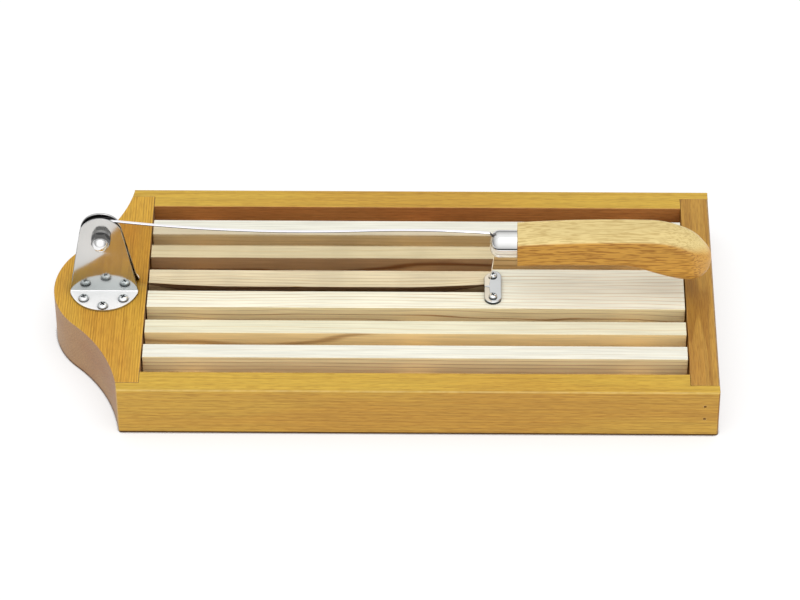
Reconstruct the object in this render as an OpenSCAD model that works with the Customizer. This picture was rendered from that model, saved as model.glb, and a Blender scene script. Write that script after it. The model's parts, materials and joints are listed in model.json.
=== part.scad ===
// Bread guillotine: a slatted crumb tray with a hinged blade that swings down into a slot.
// Millimetres, +Z up, +X from the pivot towards the handle.
// The origin is the middle of the footprint, on the surface that the tray stands on.

/* [Tray frame] */
// Length of the rectangular tray, without the tab
box_l = 398.8; // [360:0.2:440]
// Width of the tray, front to back
box_w = 205; // [196:0.5:230]
// Height of the frame
frame_h = 38.4; // [36:0.2:46]
// Thickness of the front and rear rails
rail_t = 18.5; // [16:0.1:22]
// Rail wood that covers the ends of the end boards
rail_lip = 7.9; // [6:0.1:10]
// Thickness of the right end board
right_board_t = 19.3; // [16:0.1:24]
// Depth of the left end board behind the corner of the tray
left_board_t = 14.2; // [11:0.1:18]
// Rounding of the frame's long outer edges
edge_r = 2; // [1:0.1:3]

/* [Tab] */
// Reach of the rounded tab beyond the tray
tab_reach = 48.8; // [44:0.2:58]
// Radius of the hollow curve that leads into the tab
hollow_r = 110; // [90:1:140]
// Lean of the hollow curve where it leaves the corner, in degrees
hollow_lean = 8; // [4:0.5:12]

/* [Slats] */
// Width of the cutting slat
cutting_slat_w = 40; // [36:0.2:42]
// Width of the narrow slats beside the cutting slat
inner_slat_w = 12.9; // [10:0.1:14]
// Width of the outermost slats
outer_slat_w = 12.7; // [10:0.1:14]
// Crumb gap beside the cutting slat
inner_gap = 12.7; // [10:0.1:14]
// Crumb gap between the narrow slats
outer_gap = 11.4; // [9:0.1:12.5]
// Play between the slats and the end boards
slat_end_gap = 0.9; // [0.3:0.1:0.9]
// Wood left under the blade slot
slot_floor_t = 4; // [3:0.1:5]
// Width of the blade slot
slot_w = 6.8; // [5:0.1:8]
// Room between the cutting edge and the bottom of the slot
slot_room = 1.8; // [1:0.1:3]

/* [Bearers and bottom] */
// Width of the bearers under the slats
bearer_w = 22; // [18:0.5:28]
// Distance of the outer bearers from the slat ends
bearer_inset = 34; // [20:1:60]
// Play between the bearers and the rails
bearer_gap = 0.5; // [0.2:0.1:0.8]
// Thickness of the bottom panel
panel_t = 4; // [3:0.1:5]
// Depth of the bottom panel above the underside
panel_recess = 2; // [1.2:0.1:3]
// Width of the rebate that holds the bottom panel
panel_rebate = 8; // [6:0.1:9]
// Play around the bottom panel
panel_gap = 0.4; // [0.2:0.1:0.8]

/* [Pivot brackets] */
// Thickness of the bracket plates
plate_t = 1.8; // [1.4:0.1:2.2]
// Width of a bracket at the board
bracket_w = 45.6; // [42:0.2:50]
// Height of a bracket above the board
bracket_h = 63.4; // [61.5:0.1:72]
// Radius of a bracket's rounded top
bracket_top_r = 14.2; // [13:0.1:16]
// Reach of a flange from the middle of the tray
flange_reach = 25.6; // [25:0.1:28]
// Straight stretch of the flange's sides in front of the fold
flange_lead = 1.5; // [1:0.1:2]
// Inner radius of the fold
fold_r = 2.4; // [1:0.1:3]
// Height of the pivot above the board
pivot_h = 46.2; // [45:0.1:48]
// Distance of the pivot outside the tray's left corner
pivot_setback = 14.2; // [12:0.1:18]

/* [Pivot bolt] */
// Diameter of the bolt
bolt_d = 6; // [5:0.1:7]
// Running clearance of the bolt, on the radius
bolt_fit = 0.05; // [0.02:0.01:0.09]
// Diameter of the bolt's round head
bolt_head_d = 12; // [10:0.1:14]
// Height of the bolt's round head
bolt_head_h = 3.6; // [3:0.1:5]
// Diameter of the washer
washer_d = 13.4; // [12.5:0.1:15]
// Thickness of the washer
washer_t = 1.2; // [0.8:0.1:2]
// Width across the flats of the cap nut
nut_flats = 11; // [10.2:0.1:11.6]
// Height of the cap nut's hexagon
nut_hex_h = 5.2; // [4:0.1:6.5]
// Slope of the chamfer on the cap nut's corners, in degrees
nut_chamfer = 30; // [20:1:35]
// Diameter of the cap nut's dome
dome_d = 10; // [9:0.1:10.2]

/* [Blade] */
// Thickness of the blade
blade_t = 2.4; // [2:0.1:3]
// Play between the blade and each bracket plate
blade_play = 0.3; // [0.3:0.05:0.5]
// Distance from the pivot to the heel of the blade
heel_u = 260.9; // [250:0.5:275]
// Slant of the heel towards the ferrule
heel_slant = 4; // [3:0.1:5]
// Radius of the cutting edge
edge_radius = 468; // [440:1:520]
// Distance from the heel to the lowest point of the cutting edge
belly_u = 117.6; // [105:0.2:125]
// Height of the ground bevel
bevel_h = 9; // [6:0.1:14]
// Thickness left at the cutting edge
edge_t = 0.3; // [0.2:0.05:0.6]
// Height of the sway in the spine above the pivot
sway_w = 4.7; // [4:0.1:6]
// Distance from the pivot to the sway in the spine
sway_u = 133; // [125:1:140]
// Radius of the sway
sway_r = 904; // [860:2:1000]
// Distance from the sway to the hump in the spine
hump_u = 74; // [60:1:84]
// Radius of the hump
hump_r = 650; // [500:5:800]
// Height of the tang
tang_h = 9; // [7:0.1:11]
// Length of the tang inside the handle
tang_l = 72; // [50:1:85]
// Play of the tang in the ferrule and the handle
tang_fit = 0.1; // [0.05:0.01:0.2]

/* [Ferrule and handle] */
// Drop of the handle's axis below the pivot
handle_drop = 5.6; // [5:0.1:6.5]
// Diameter of the ferrule
ferrule_d = 18.6; // [17:0.1:20]
// Length of the ferrule
ferrule_l = 18.4; // [15:0.1:22]
// Rounding of the ferrule's nose
ferrule_nose_r = 6.5; // [5:0.1:7.5]
// Length of the handle
handle_l = 130.6; // [120:0.2:140]
// Width of the handle
handle_w = 25; // [22:0.1:28]
// Softening of the handle's long edges
handle_edge_r = 2.6; // [2:0.1:6]
// Softening of the edges at the tip of the butt
butt_edge_r = 9; // [6:0.1:11]
// Height of the crown of the handle above its axis
crown_w = 12.6; // [11.5:0.1:14]
// Distance of the crown from the ferrule
crown_x = 70; // [60:1:78]
// Radius of the crown
crown_r = 817; // [700:1:1000]
// Depth of the arch on the handle's underside below its axis
arch_w = 9.5; // [8.5:0.1:10.5]
// Distance of the arch from the ferrule
arch_x = 38; // [30:1:48]
// Radius of the arch
arch_r = 600; // [450:5:900]
// Length of the rounded butt
butt_l = 42.6; // [38:0.2:46]
// Drop of the tip of the butt below the handle's axis
butt_drop = 11; // [9:0.1:13]
// Depth of the hook below the arch
hook_w = 13.8; // [9:0.1:15]
// Length over which the underside falls to the hook
hook_l = 50; // [42:0.5:55]
// Distance of the hook's lowest point from the tip of the butt
hook_back = 12; // [11:0.2:18]
// Length over which the butt narrows in plan
butt_plan_l = 17; // [14:0.2:28]

/* [Stop plate] */
// Width of the stop plate along the tray
stop_w = 11.6; // [10:0.1:13]
// Length of the stop plate across the cutting slat
stop_l = 32.6; // [29:0.1:34]
// Thickness of the stop plate
stop_t = 2.2; // [1.8:0.1:3]
// Distance of the stop plate's middle beyond the heel
stop_lead = 2.4; // [1.5:0.1:3.5]
// Spacing of the stop plate's screws
stop_screw_gap = 21; // [19:0.1:22]
// Gap between the resting edge and the stop plate
rest_gap = 0.25; // [0.2:0.01:0.4]

/* [Screws and nails] */
// Play of a screw or nail in its hole, on the radius
pilot_fit = 0.05; // [0.02:0.01:0.1]
// Head diameter of the bracket screws
screw_head_d = 7.4; // [6.6:0.1:7.8]
// Head height of the bracket screws
screw_head_h = 2.6; // [2:0.1:3]
// Shank diameter of the bracket screws
screw_d = 3.6; // [3:0.1:4]
// Length of the bracket screws under the head
screw_l = 18; // [14:0.5:24]
// Spacing of the bracket screws beside the fold
fold_screw_gap = 26.8; // [26:0.1:30]
// Distance of those screws from the middle of the tray
fold_screw_y = 14.4; // [12.8:0.1:15]
// Flange left outside the head of the outer bracket screw
head_margin = 0.1; // [0.1:0.05:0.6]
// Head diameter of the stop plate screws
stop_head_d = 6; // [5:0.1:7]
// Head height of the stop plate screws
stop_head_h = 2.2; // [1.6:0.1:2.6]
// Shank diameter of the stop plate screws
stop_screw_d = 2.8; // [2.4:0.1:3.2]
// Length of the stop plate screws under the head
stop_screw_l = 14; // [10:0.5:16]
// Shank diameter of the slat screws
slat_screw_d = 3; // [2.6:0.1:3.6]
// Head diameter of the slat screws
slat_head_d = 6; // [5.2:0.1:7]
// Bite of the slat screws in the slats
slat_bite = 10; // [7:0.5:13]
// Shank diameter of the corner nails
nail_d = 2; // [1.6:0.1:2.4]
// Length of the corner nails
nail_l = 34; // [26:0.5:40]
// Depth of the corner nails below the wood's surface
nail_set = 0.6; // [0.3:0.1:1]
// Height of the lower corner nail
nail_z = 15.2; // [12:0.1:17]
// Spacing of the corner nails
nail_gap = 11; // [8:0.1:13]
// Shank diameter of the bottom panel's nails
panel_nail_d = 1.6; // [1.2:0.1:2]
// Head diameter of the bottom panel's nails
panel_head_d = 3.2; // [2.6:0.1:4]
// Head height of the bottom panel's nails
panel_head_h = 0.8; // [0.5:0.1:1]
// Length of the bottom panel's nails under the head
panel_nail_l = 14; // [10:0.5:20]
// Bottom nails along each rail
rail_nails_n = 4; // [3:1:6]
// Bottom nails along each end board
end_nails_n = 2; // [2:1:4]

/* [Hidden] */
$fn = 64;
// Overlap of cutting shapes past the faces they cut
eps = 1;
// Facets of the very large circle of the cutting edge
edge_fn = 1440;

// Places along the tray
overall_l = box_l + tab_reach;
tip_x = -overall_l / 2;
box_x0 = tip_x + tab_reach;
box_x1 = overall_l / 2;
inner_x0 = box_x0 + left_board_t;
inner_x1 = box_x1 - right_board_t;
pivot_x = box_x0 - pivot_setback;
pivot_z = frame_h + pivot_h;
heel_x = pivot_x + heel_u;

// Places across the tray
half_w = box_w / 2;
inner_y = half_w - rail_t;
lip_y = half_w - rail_lip;
cutting_half = cutting_slat_w / 2;
inner_slat_y = cutting_half + inner_gap + inner_slat_w / 2;
outer_slat_y = inner_slat_y + inner_slat_w / 2 + outer_gap + outer_slat_w / 2;

// Tab outline: a nose arc that runs tangent into a hollow arc on each side
hollow_x = box_x0 - hollow_r * cos(hollow_lean);
hollow_y = half_w + hollow_r * sin(hollow_lean);
tip_to_hollow = tip_x - hollow_x;
nose_r = (pow(tip_to_hollow, 2) + pow(hollow_y, 2) - pow(hollow_r, 2)) / (2 * (hollow_r - tip_to_hollow));
nose_x = tip_x + nose_r;
meet_x = nose_x + (hollow_x - nose_x) * nose_r / (nose_r + hollow_r);
meet_y = hollow_y * nose_r / (nose_r + hollow_r);

// Cutting edge, measured from the pivot: u along the blade, w up
// It rests on the near side of the stop plate, where the edge is lower than at the heel
rest_w = stop_t + rest_gap - pivot_h;
rest_u = belly_u + stop_lead - stop_w / 2;
edge_u = heel_u - belly_u;
edge_w = rest_w + sqrt(pow(edge_radius, 2) - pow(rest_u, 2));
heel_w = edge_w - sqrt(pow(edge_radius, 2) - pow(belly_u, 2));
edge_depth = edge_radius - edge_w - pivot_h;

// Slats stand on the bearers, which stand on the bottom panel
slot_d = edge_depth + slot_room;
slat_t = slot_d + slot_floor_t;
slat_z = frame_h - slat_t;
slat_x0 = inner_x0 + slat_end_gap;
slat_x1 = inner_x1 - slat_end_gap;
panel_top = panel_recess + panel_t;
bearer_h = slat_z - panel_top;
bearer_x = [
    slat_x0 + bearer_inset,
    (slat_x0 + slat_x1) / 2,
    slat_x1 - bearer_inset
];
cutting_screw_y = (slot_w / 2 + cutting_half) / 2;
slat_screw_y = [cutting_screw_y, inner_slat_y, outer_slat_y];

// Bracket: the plates stand clear of the blade on both sides
plate_y = blade_t / 2 + blade_play;
fold_y = plate_y + plate_t;
bend_y = fold_y + fold_r;
bend_z = plate_t + fold_r;
top_z = bracket_h - bracket_top_r;
lean_h = top_z - bend_z;
side_l = sqrt(pow(bracket_w / 2, 2) + pow(lean_h, 2));
tangent_a = acos(bracket_top_r / side_l) - atan(lean_h / (bracket_w / 2));
flange_sag = flange_reach - bend_y - flange_lead;
flange_r = (pow(bracket_w / 2, 2) + pow(flange_sag, 2)) / (2 * flange_sag);
tip_screw_y = flange_reach - screw_head_d / 2 - head_margin;
bolt_r = bolt_d / 2;
bore_r = bolt_r + bolt_fit;

// Stop plate on the cutting slat
stop_x = heel_x + stop_lead;
stop_screw_y = stop_screw_gap / 2;

// Spine of the blade: a sway arc that runs tangent into a hump arc
hump_at = sway_u + hump_u;
spine_join = (sway_u * hump_r + hump_at * sway_r) / (sway_r + hump_r);
hump_w = sway_w + pow(spine_join - sway_u, 2) / (2 * sway_r) + pow(hump_at - spine_join, 2) / (2 * hump_r);
spine_lean = atan(sway_u / sway_r);
root_r = (sway_w + pow(sway_u, 2) / (2 * sway_r)) * cos(spine_lean);
spine_start = root_r * sin(spine_lean);
spine_steps = 40;
root_a = 200;
shoulder_u = heel_u + heel_slant;
ferrule_u = heel_u + ferrule_l;

// Handle: rings along X from the ferrule to the tip of the butt
butt_x = handle_l - butt_l;
hook_x = handle_l - hook_back;
plan_x = handle_l - butt_plan_l;
straight_rings = 18;
butt_rings = 18;
// How far round the butt the last ring lies, in degrees
butt_end_a = 87;
corner_steps = 6;
// Largest share of a ring's half height or half width that its corners may round
round_share = 0.96;
handle_stations = concat(
    [for (i = [0 : straight_rings - 1]) butt_x * i / straight_rings],
    [for (i = [0 : butt_rings]) butt_x + butt_l * sin(butt_end_a * i / butt_rings)]
);

frame_color = "peru";
slat_color = "blanchedalmond";
handle_color = "burlywood";
panel_color = "tan";
steel_color = "silver";
screw_color = "gainsboro";

// Helpers

// A block between two corners
module block(low, high) {
    translate(low) cube(high - low);
}

// A round-head screw, head up, with the underside of its head at z = 0
module round_screw(head_d, head_h, shank_d, length) {
    dome_r = (pow(head_d / 2, 2) + pow(head_h, 2)) / (2 * head_h);
    rotate_extrude() {
        intersection() {
            translate([0, head_h - dome_r]) circle(dome_r);
            square([head_d / 2, head_h]);
        }
        polygon([[0, 0], [shank_d / 2, 0], [shank_d / 2, shank_d - length], [0, -length]]);
    }
}

// The hole for a shank that points down from z = 0
module pilot_hole(shank_d, length) {
    translate([0, 0, -length - pilot_fit])
        cylinder(d = shank_d + 2 * pilot_fit, h = length + pilot_fit + eps);
}

// Frame

// Outline of the whole frame seen from above
module frame_plan() {
    difference() {
        union() {
            translate([box_x0, -half_w]) square([box_l - edge_r, box_w]);
            translate([box_x0, edge_r - half_w]) square([box_l, box_w - 2 * edge_r]);
            for (side = [-1, 1]) {
                translate([box_x1 - edge_r, side * (half_w - edge_r)]) circle(edge_r);
            }
            translate([nose_x, 0]) circle(nose_r);
            polygon([[box_x0, half_w], [meet_x, meet_y], [meet_x, -meet_y], [box_x0, -half_w]]);
        }
        for (side = [-1, 1]) {
            translate([hollow_x, side * hollow_y]) circle(hollow_r);
        }
    }
}

// Cross-section of the front rail: y across, z up, outer face at -half_w
module rail_section() {
    difference() {
        union() {
            translate([-half_w, edge_r]) square([rail_t, frame_h - 2 * edge_r]);
            translate([edge_r - half_w, 0]) square([rail_t - edge_r, frame_h]);
            for (z = [edge_r, frame_h - edge_r]) {
                translate([edge_r - half_w, z]) circle(edge_r);
            }
        }
        translate([-inner_y - panel_rebate, -eps]) square([panel_rebate + eps, panel_top + eps]);
    }
}

// The front rail, notched at both ends for the end boards
module rail() {
    difference() {
        intersection() {
            translate([tip_x, 0, 0]) rotate([90, 0, 90]) linear_extrude(overall_l) rail_section();
            linear_extrude(frame_h) frame_plan();
        }
        block([tip_x - eps, -lip_y, -eps], [inner_x0, 0, frame_h + eps]);
        block([inner_x1, -lip_y, -eps], [box_x1 + eps, 0, frame_h + eps]);
        panel_nail_holes();
        corner_nail_holes();
    }
}

module front_rail() {
    color(frame_color) rail();
}

module rear_rail() {
    color(frame_color) mirror([0, 1, 0]) rail();
}

module left_end_board() {
    color(frame_color) difference() {
        intersection() {
            linear_extrude(frame_h) frame_plan();
            block([tip_x - eps, -lip_y, 0], [inner_x0, lip_y, frame_h]);
        }
        block([inner_x0 - panel_rebate, -inner_y - panel_rebate, -eps],
              [inner_x0 + eps, inner_y + panel_rebate, panel_top]);
        bracket_screw_places() pilot_hole(screw_d, screw_l);
        panel_nail_holes();
    }
}

// Cross-section of the right end board: x across, z up
module end_board_section() {
    translate([inner_x1, 0]) square([right_board_t - edge_r, frame_h]);
    translate([inner_x1, edge_r]) square([right_board_t, frame_h - 2 * edge_r]);
    for (z = [edge_r, frame_h - edge_r]) {
        translate([box_x1 - edge_r, z]) circle(edge_r);
    }
}

module right_end_board() {
    color(frame_color) difference() {
        translate([0, lip_y, 0]) rotate([90, 0, 0]) linear_extrude(2 * lip_y) end_board_section();
        block([inner_x1 - eps, -inner_y - panel_rebate, -eps],
              [inner_x1 + panel_rebate, inner_y + panel_rebate, panel_top]);
        corner_nail_holes();
        mirror([0, 1, 0]) corner_nail_holes();
        panel_nail_holes();
    }
}

// The two nails at the right end of the front rail, each along +Y from its head
module corner_nail_places() {
    for (z = [nail_z, nail_z + nail_gap]) {
        translate([(inner_x1 + box_x1) / 2, nail_set - half_w, z]) rotate([-90, 0, 0]) children();
    }
}

module corner_nail_holes() {
    corner_nail_places() translate([0, 0, -nail_set - eps])
        cylinder(d = nail_d + 2 * pilot_fit, h = nail_l + nail_set + eps + pilot_fit);
}

module corner_nails() {
    color(screw_color) for (side = [0, 1]) {
        mirror([0, side, 0]) corner_nail_places() rotate_extrude()
            polygon([[0, 0], [nail_d / 2, 0], [nail_d / 2, nail_l - nail_d], [0, nail_l]]);
    }
}

// Bottom

// One place under the middle of the rebate for each nail of the bottom panel
module panel_nail_places() {
    nail_y = inner_y + panel_rebate / 2;
    nail_x0 = inner_x0 - panel_rebate / 2;
    nail_x1 = inner_x1 + panel_rebate / 2;
    for (side = [-1, 1], i = [1 : rail_nails_n]) {
        translate([inner_x0 + (inner_x1 - inner_x0) * (i - 0.5) / rail_nails_n, side * nail_y, panel_recess])
            children();
    }
    for (x = [nail_x0, nail_x1], i = [1 : end_nails_n]) {
        translate([x, inner_y * (2 * i - 1 - end_nails_n) / end_nails_n, panel_recess]) children();
    }
}

module panel_nail_holes() {
    panel_nail_places() cylinder(d = panel_nail_d + 2 * pilot_fit, h = panel_nail_l + pilot_fit);
}

module bottom_panel() {
    rebate_x0 = inner_x0 - panel_rebate + panel_gap;
    rebate_x1 = inner_x1 + panel_rebate - panel_gap;
    rebate_y = inner_y + panel_rebate - panel_gap;
    color(panel_color) difference() {
        block([rebate_x0, -rebate_y, panel_recess], [rebate_x1, rebate_y, panel_top]);
        translate([0, 0, -panel_t]) panel_nail_holes();
    }
}

module panel_nails() {
    color(screw_color) panel_nail_places() rotate_extrude() polygon([
        [0, -panel_head_h], [panel_head_d / 2, -panel_head_h], [panel_head_d / 2, 0],
        [panel_nail_d / 2, 0], [panel_nail_d / 2, panel_nail_l - panel_nail_d], [0, panel_nail_l]
    ]);
}

// Slats and bearers

// The underside of a bearer at each slat screw, pointing up
module slat_screw_places(xs) {
    for (x = xs, side = [-1, 1], y = slat_screw_y) {
        translate([x, side * y, panel_top]) children();
    }
}

// A countersunk screw, or its hole when it gets some play
module slat_screw(play) {
    head_r = slat_head_d / 2 + play;
    shank_r = slat_screw_d / 2 + play;
    length = bearer_h + slat_bite + play;
    rotate_extrude() polygon([
        [0, 0], [head_r, 0], [shank_r, head_r - shank_r], [shank_r, length - slat_screw_d], [0, length]
    ]);
}

module slat_screws() {
    color(screw_color) slat_screw_places(bearer_x) slat_screw(0);
}

module bearer(x) {
    reach_y = inner_y - bearer_gap;
    color(slat_color) difference() {
        block([x - bearer_w / 2, -reach_y, panel_top], [x + bearer_w / 2, reach_y, slat_z]);
        slat_screw_places([x]) slat_screw(pilot_fit);
    }
}

module left_bearer() {
    bearer(bearer_x[0]);
}

module middle_bearer() {
    bearer(bearer_x[1]);
}

module right_bearer() {
    bearer(bearer_x[2]);
}

module slat(y, width) {
    color(slat_color) difference() {
        block([slat_x0, y - width / 2, slat_z], [slat_x1, y + width / 2, frame_h]);
        slat_screw_places(bearer_x) slat_screw(pilot_fit);
    }
}

module front_inner_slat() {
    slat(-inner_slat_y, inner_slat_w);
}

module front_outer_slat() {
    slat(-outer_slat_y, outer_slat_w);
}

module rear_inner_slat() {
    slat(inner_slat_y, inner_slat_w);
}

module rear_outer_slat() {
    slat(outer_slat_y, outer_slat_w);
}

// The blade slot runs in from the left end and stops in a round end under the stop plate
module blade_slot() {
    slot_z = frame_h - slot_d;
    slot_end = stop_x - slot_w / 2;
    block([slat_x0 - eps, -slot_w / 2, slot_z], [slot_end, slot_w / 2, frame_h + eps]);
    translate([slot_end, 0, slot_z]) cylinder(d = slot_w, h = slot_d + eps);
}

module cutting_slat() {
    color(slat_color) difference() {
        slat(0, cutting_slat_w);
        blade_slot();
        stop_screw_places() pilot_hole(stop_screw_d, stop_screw_l);
    }
}

// Stop plate

module stop_screw_places() {
    for (side = [-1, 1]) {
        translate([stop_x, side * stop_screw_y, frame_h + stop_t]) children();
    }
}

module stop_plate() {
    end_y = (stop_l - stop_w) / 2;
    color(steel_color) difference() {
        union() {
            block([stop_x - stop_w / 2, -end_y, frame_h], [stop_x + stop_w / 2, end_y, frame_h + stop_t]);
            for (side = [-1, 1]) {
                translate([stop_x, side * end_y, frame_h]) cylinder(d = stop_w, h = stop_t);
            }
        }
        stop_screw_places() pilot_hole(stop_screw_d, stop_screw_l);
    }
}

module stop_plate_screws() {
    color(screw_color) stop_screw_places()
        round_screw(stop_head_d, stop_head_h, stop_screw_d, stop_screw_l);
}

// Pivot brackets

// The three screw places on the front flange
module bracket_screw_row() {
    places = [[-fold_screw_gap / 2, fold_screw_y], [fold_screw_gap / 2, fold_screw_y], [0, tip_screw_y]];
    for (place = places) {
        translate([pivot_x + place[0], -place[1], frame_h + plate_t]) children();
    }
}

module bracket_screw_places() {
    bracket_screw_row() children();
    mirror([0, 1, 0]) bracket_screw_row() children();
}

// Upright plate above the fold, seen from the front: leaning sides that run tangent into a round top
module upright_outline() {
    tangent_x = bracket_top_r * cos(tangent_a);
    tangent_z = top_z + bracket_top_r * sin(tangent_a);
    polygon([
        [-bracket_w / 2, bend_z], [bracket_w / 2, bend_z], [tangent_x, tangent_z], [-tangent_x, tangent_z]
    ]);
    translate([0, top_z]) circle(bracket_top_r);
}

// Flange in front of the fold, seen from above: short straight sides and a segment of a circle
module flange_outline() {
    intersection() {
        translate([0, flange_r - flange_reach]) circle(flange_r);
        translate([-bracket_w / 2, -flange_reach - eps]) square([bracket_w, flange_reach + eps - bend_y]);
    }
}

// Cross-section of the fold: y across, z up, flange towards -y
module fold_section() {
    intersection() {
        translate([-bend_y, bend_z]) difference() {
            circle(bend_z);
            circle(fold_r);
        }
        translate([-bend_y, 0]) square(bend_z);
    }
}

module bracket() {
    difference() {
        translate([pivot_x, 0, frame_h]) {
            translate([0, -plate_y, 0]) rotate([90, 0, 0]) linear_extrude(plate_t) upright_outline();
            translate([-bracket_w / 2, 0, 0]) rotate([90, 0, 90]) linear_extrude(bracket_w) fold_section();
            linear_extrude(plate_t) flange_outline();
        }
        pivot_bore();
        bracket_screw_row() pilot_hole(screw_d, screw_l);
    }
}

module front_bracket() {
    color(steel_color) bracket();
}

module rear_bracket() {
    color(steel_color) mirror([0, 1, 0]) bracket();
}

module front_bracket_screws() {
    color(screw_color) bracket_screw_row() round_screw(screw_head_d, screw_head_h, screw_d, screw_l);
}

module rear_bracket_screws() {
    color(screw_color) mirror([0, 1, 0]) bracket_screw_row()
        round_screw(screw_head_d, screw_head_h, screw_d, screw_l);
}

// Pivot

// Along the pivot, from the front face of the front plate towards the viewer
module pivot_front(depth) {
    translate([pivot_x, -fold_y - depth, pivot_z]) rotate([90, 0, 0]) children();
}

module pivot_bore() {
    translate([pivot_x, half_w, pivot_z]) rotate([90, 0, 0]) cylinder(r = bore_r, h = box_w);
}

module pivot_bolt() {
    shaft_l = 2 * fold_y + washer_t + nut_hex_h;
    head_dome_r = (pow(bolt_head_d / 2, 2) + pow(bolt_head_h, 2)) / (2 * bolt_head_h);
    color(screw_color) translate([pivot_x, fold_y, pivot_z]) rotate([90, 0, 0]) rotate_extrude() {
        square([bolt_r, shaft_l]);
        intersection() {
            translate([0, head_dome_r - bolt_head_h]) circle(head_dome_r);
            translate([0, -bolt_head_h]) square([bolt_head_d / 2, bolt_head_h]);
        }
    }
}

module pivot_washer() {
    color(steel_color) pivot_front(0) difference() {
        cylinder(d = washer_d, h = washer_t);
        translate([0, 0, -eps]) cylinder(r = bore_r, h = washer_t + 2 * eps);
    }
}

module cap_nut() {
    corner_r = nut_flats / (2 * cos(30));
    flat_r = nut_flats / 2;
    color(steel_color) pivot_front(washer_t) difference() {
        union() {
            intersection() {
                cylinder(r = corner_r, h = nut_hex_h, $fn = 6);
                rotate_extrude() polygon([
                    [0, 0], [corner_r, 0], [corner_r, nut_hex_h - (corner_r - flat_r) * tan(nut_chamfer)],
                    [flat_r, nut_hex_h], [0, nut_hex_h]
                ]);
            }
            translate([0, 0, nut_hex_h]) intersection() {
                sphere(d = dome_d);
                cylinder(d = dome_d, h = dome_d);
            }
        }
        translate([0, 0, -eps]) cylinder(r = bore_r, h = nut_hex_h + eps + bolt_fit);
    }
}

// Knife

// Height of the spine at a distance from the pivot
function spine(u) = u < spine_join
    ? sway_w + pow(u - sway_u, 2) / (2 * sway_r)
    : hump_w - pow(u - hump_at, 2) / (2 * hump_r);

// Blade seen from the front, pivot at the origin, reaching below the cutting edge
module blade_outline() {
    tang_top = tang_h / 2 - handle_drop;
    tang_bottom = -tang_h / 2 - handle_drop;
    tang_end = ferrule_u + tang_l;
    below_w = edge_w - edge_radius - eps;
    root_steps = 16;
    root_end = 90 - spine_lean;
    root = [for (i = [0 : root_steps]) let (a = root_a + (root_end - root_a) * i / root_steps)
        [root_r * cos(a), root_r * sin(a)]];
    back = [for (i = [1 : spine_steps]) let (u = spine_start + (heel_u - spine_start) * i / spine_steps)
        [u, spine(u)]];
    polygon(concat(root, back, [
        [shoulder_u, tang_top], [tang_end, tang_top], [tang_end, tang_bottom], [shoulder_u, tang_bottom],
        [heel_u, heel_w], [heel_u, below_w], [0, below_w]
    ]));
}

// A disc whose rim is ground on both sides, so that it gives the cutting edge
module ground_disc() {
    half_t = blade_t / 2;
    rotate([90, 0, 0]) rotate_extrude($fn = edge_fn) polygon([
        [0, -half_t], [edge_radius - bevel_h, -half_t], [edge_radius, -edge_t / 2],
        [edge_radius, edge_t / 2], [edge_radius - bevel_h, half_t], [0, half_t]
    ]);
}

module blade() {
    color(steel_color) difference() {
        translate([pivot_x, 0, pivot_z]) intersection() {
            rotate([90, 0, 0]) linear_extrude(blade_t, center = true) blade_outline();
            translate([edge_u, 0, edge_w]) ground_disc();
        }
        pivot_bore();
    }
}

// Ferrule: a round bar with a domed nose, notched for the blade and pierced for the tang
module ferrule() {
    ferrule_r = ferrule_d / 2;
    slot_t = blade_t + 2 * tang_fit;
    notch_l = heel_slant + tang_fit;
    hole_h = tang_h + 2 * tang_fit;
    color(steel_color) translate([heel_x, 0, pivot_z - handle_drop]) difference() {
        rotate([90, 0, 90]) rotate_extrude() {
            translate([0, ferrule_nose_r]) square([ferrule_r, ferrule_l - ferrule_nose_r]);
            square([ferrule_r - ferrule_nose_r, ferrule_l]);
            translate([ferrule_r - ferrule_nose_r, ferrule_nose_r]) intersection() {
                circle(ferrule_nose_r);
                translate([0, -ferrule_nose_r]) square(ferrule_nose_r);
            }
        }
        translate([-eps, -slot_t / 2, -ferrule_d]) cube([notch_l + eps, slot_t, 2 * ferrule_d]);
        translate([-eps, -slot_t / 2, -hole_h / 2]) cube([ferrule_l + 2 * eps, slot_t, hole_h]);
    }
}

// A step from 0 to 1 with level ends
function ease(t) = let (s = min(max(t, 0), 1)) s * s * (3 - 2 * s);

// A quarter of an ellipse, from 1 at t = 0 down to 0 at t = 1
function quarter(t) = sqrt(1 - pow(min(max(t, 0), 1), 2));

// Height of the handle's top above its axis
function crown(x) = crown_w - pow(x - crown_x, 2) / (2 * crown_r);
function handle_top(x) = -butt_drop + (crown(min(x, butt_x)) + butt_drop) * quarter((x - butt_x) / butt_l);

// Height of the handle's underside, below its axis
function arch(x) = -arch_w - pow(min(x, arch_x) - arch_x, 2) / (2 * arch_r);
function hooked(x) = arch(x) - hook_w * ease((x - hook_x + hook_l) / hook_l);
function handle_under(x) = -butt_drop + (hooked(x) + butt_drop) * quarter((x - hook_x) / hook_back);

// Half of the handle's width
function handle_half(x) = handle_w / 2 * quarter((x - plan_x) / butt_plan_l);

// Rounding of the handle's edges, which grows towards the tip of the butt
function edge_round(x) = handle_edge_r + (butt_edge_r - handle_edge_r) * ease((x - butt_x) / butt_l);

// One ring of the handle: a rectangle with round corners, counter-clockwise seen from +X
function handle_ring(x) = let (
    top = handle_top(x),
    under = handle_under(x),
    half = handle_half(x),
    r = min(edge_round(x), round_share * min((top - under) / 2, half))
) [for (corner = [0 : 3], i = [0 : corner_steps - 1]) let (
    a = 90 * (corner + i / (corner_steps - 1)),
    mid_y = (corner == 0 || corner == 3) ? half - r : r - half,
    mid_z = corner < 2 ? top - r : under + r
) [x, mid_y + r * cos(a), mid_z + r * sin(a)]];

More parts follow.
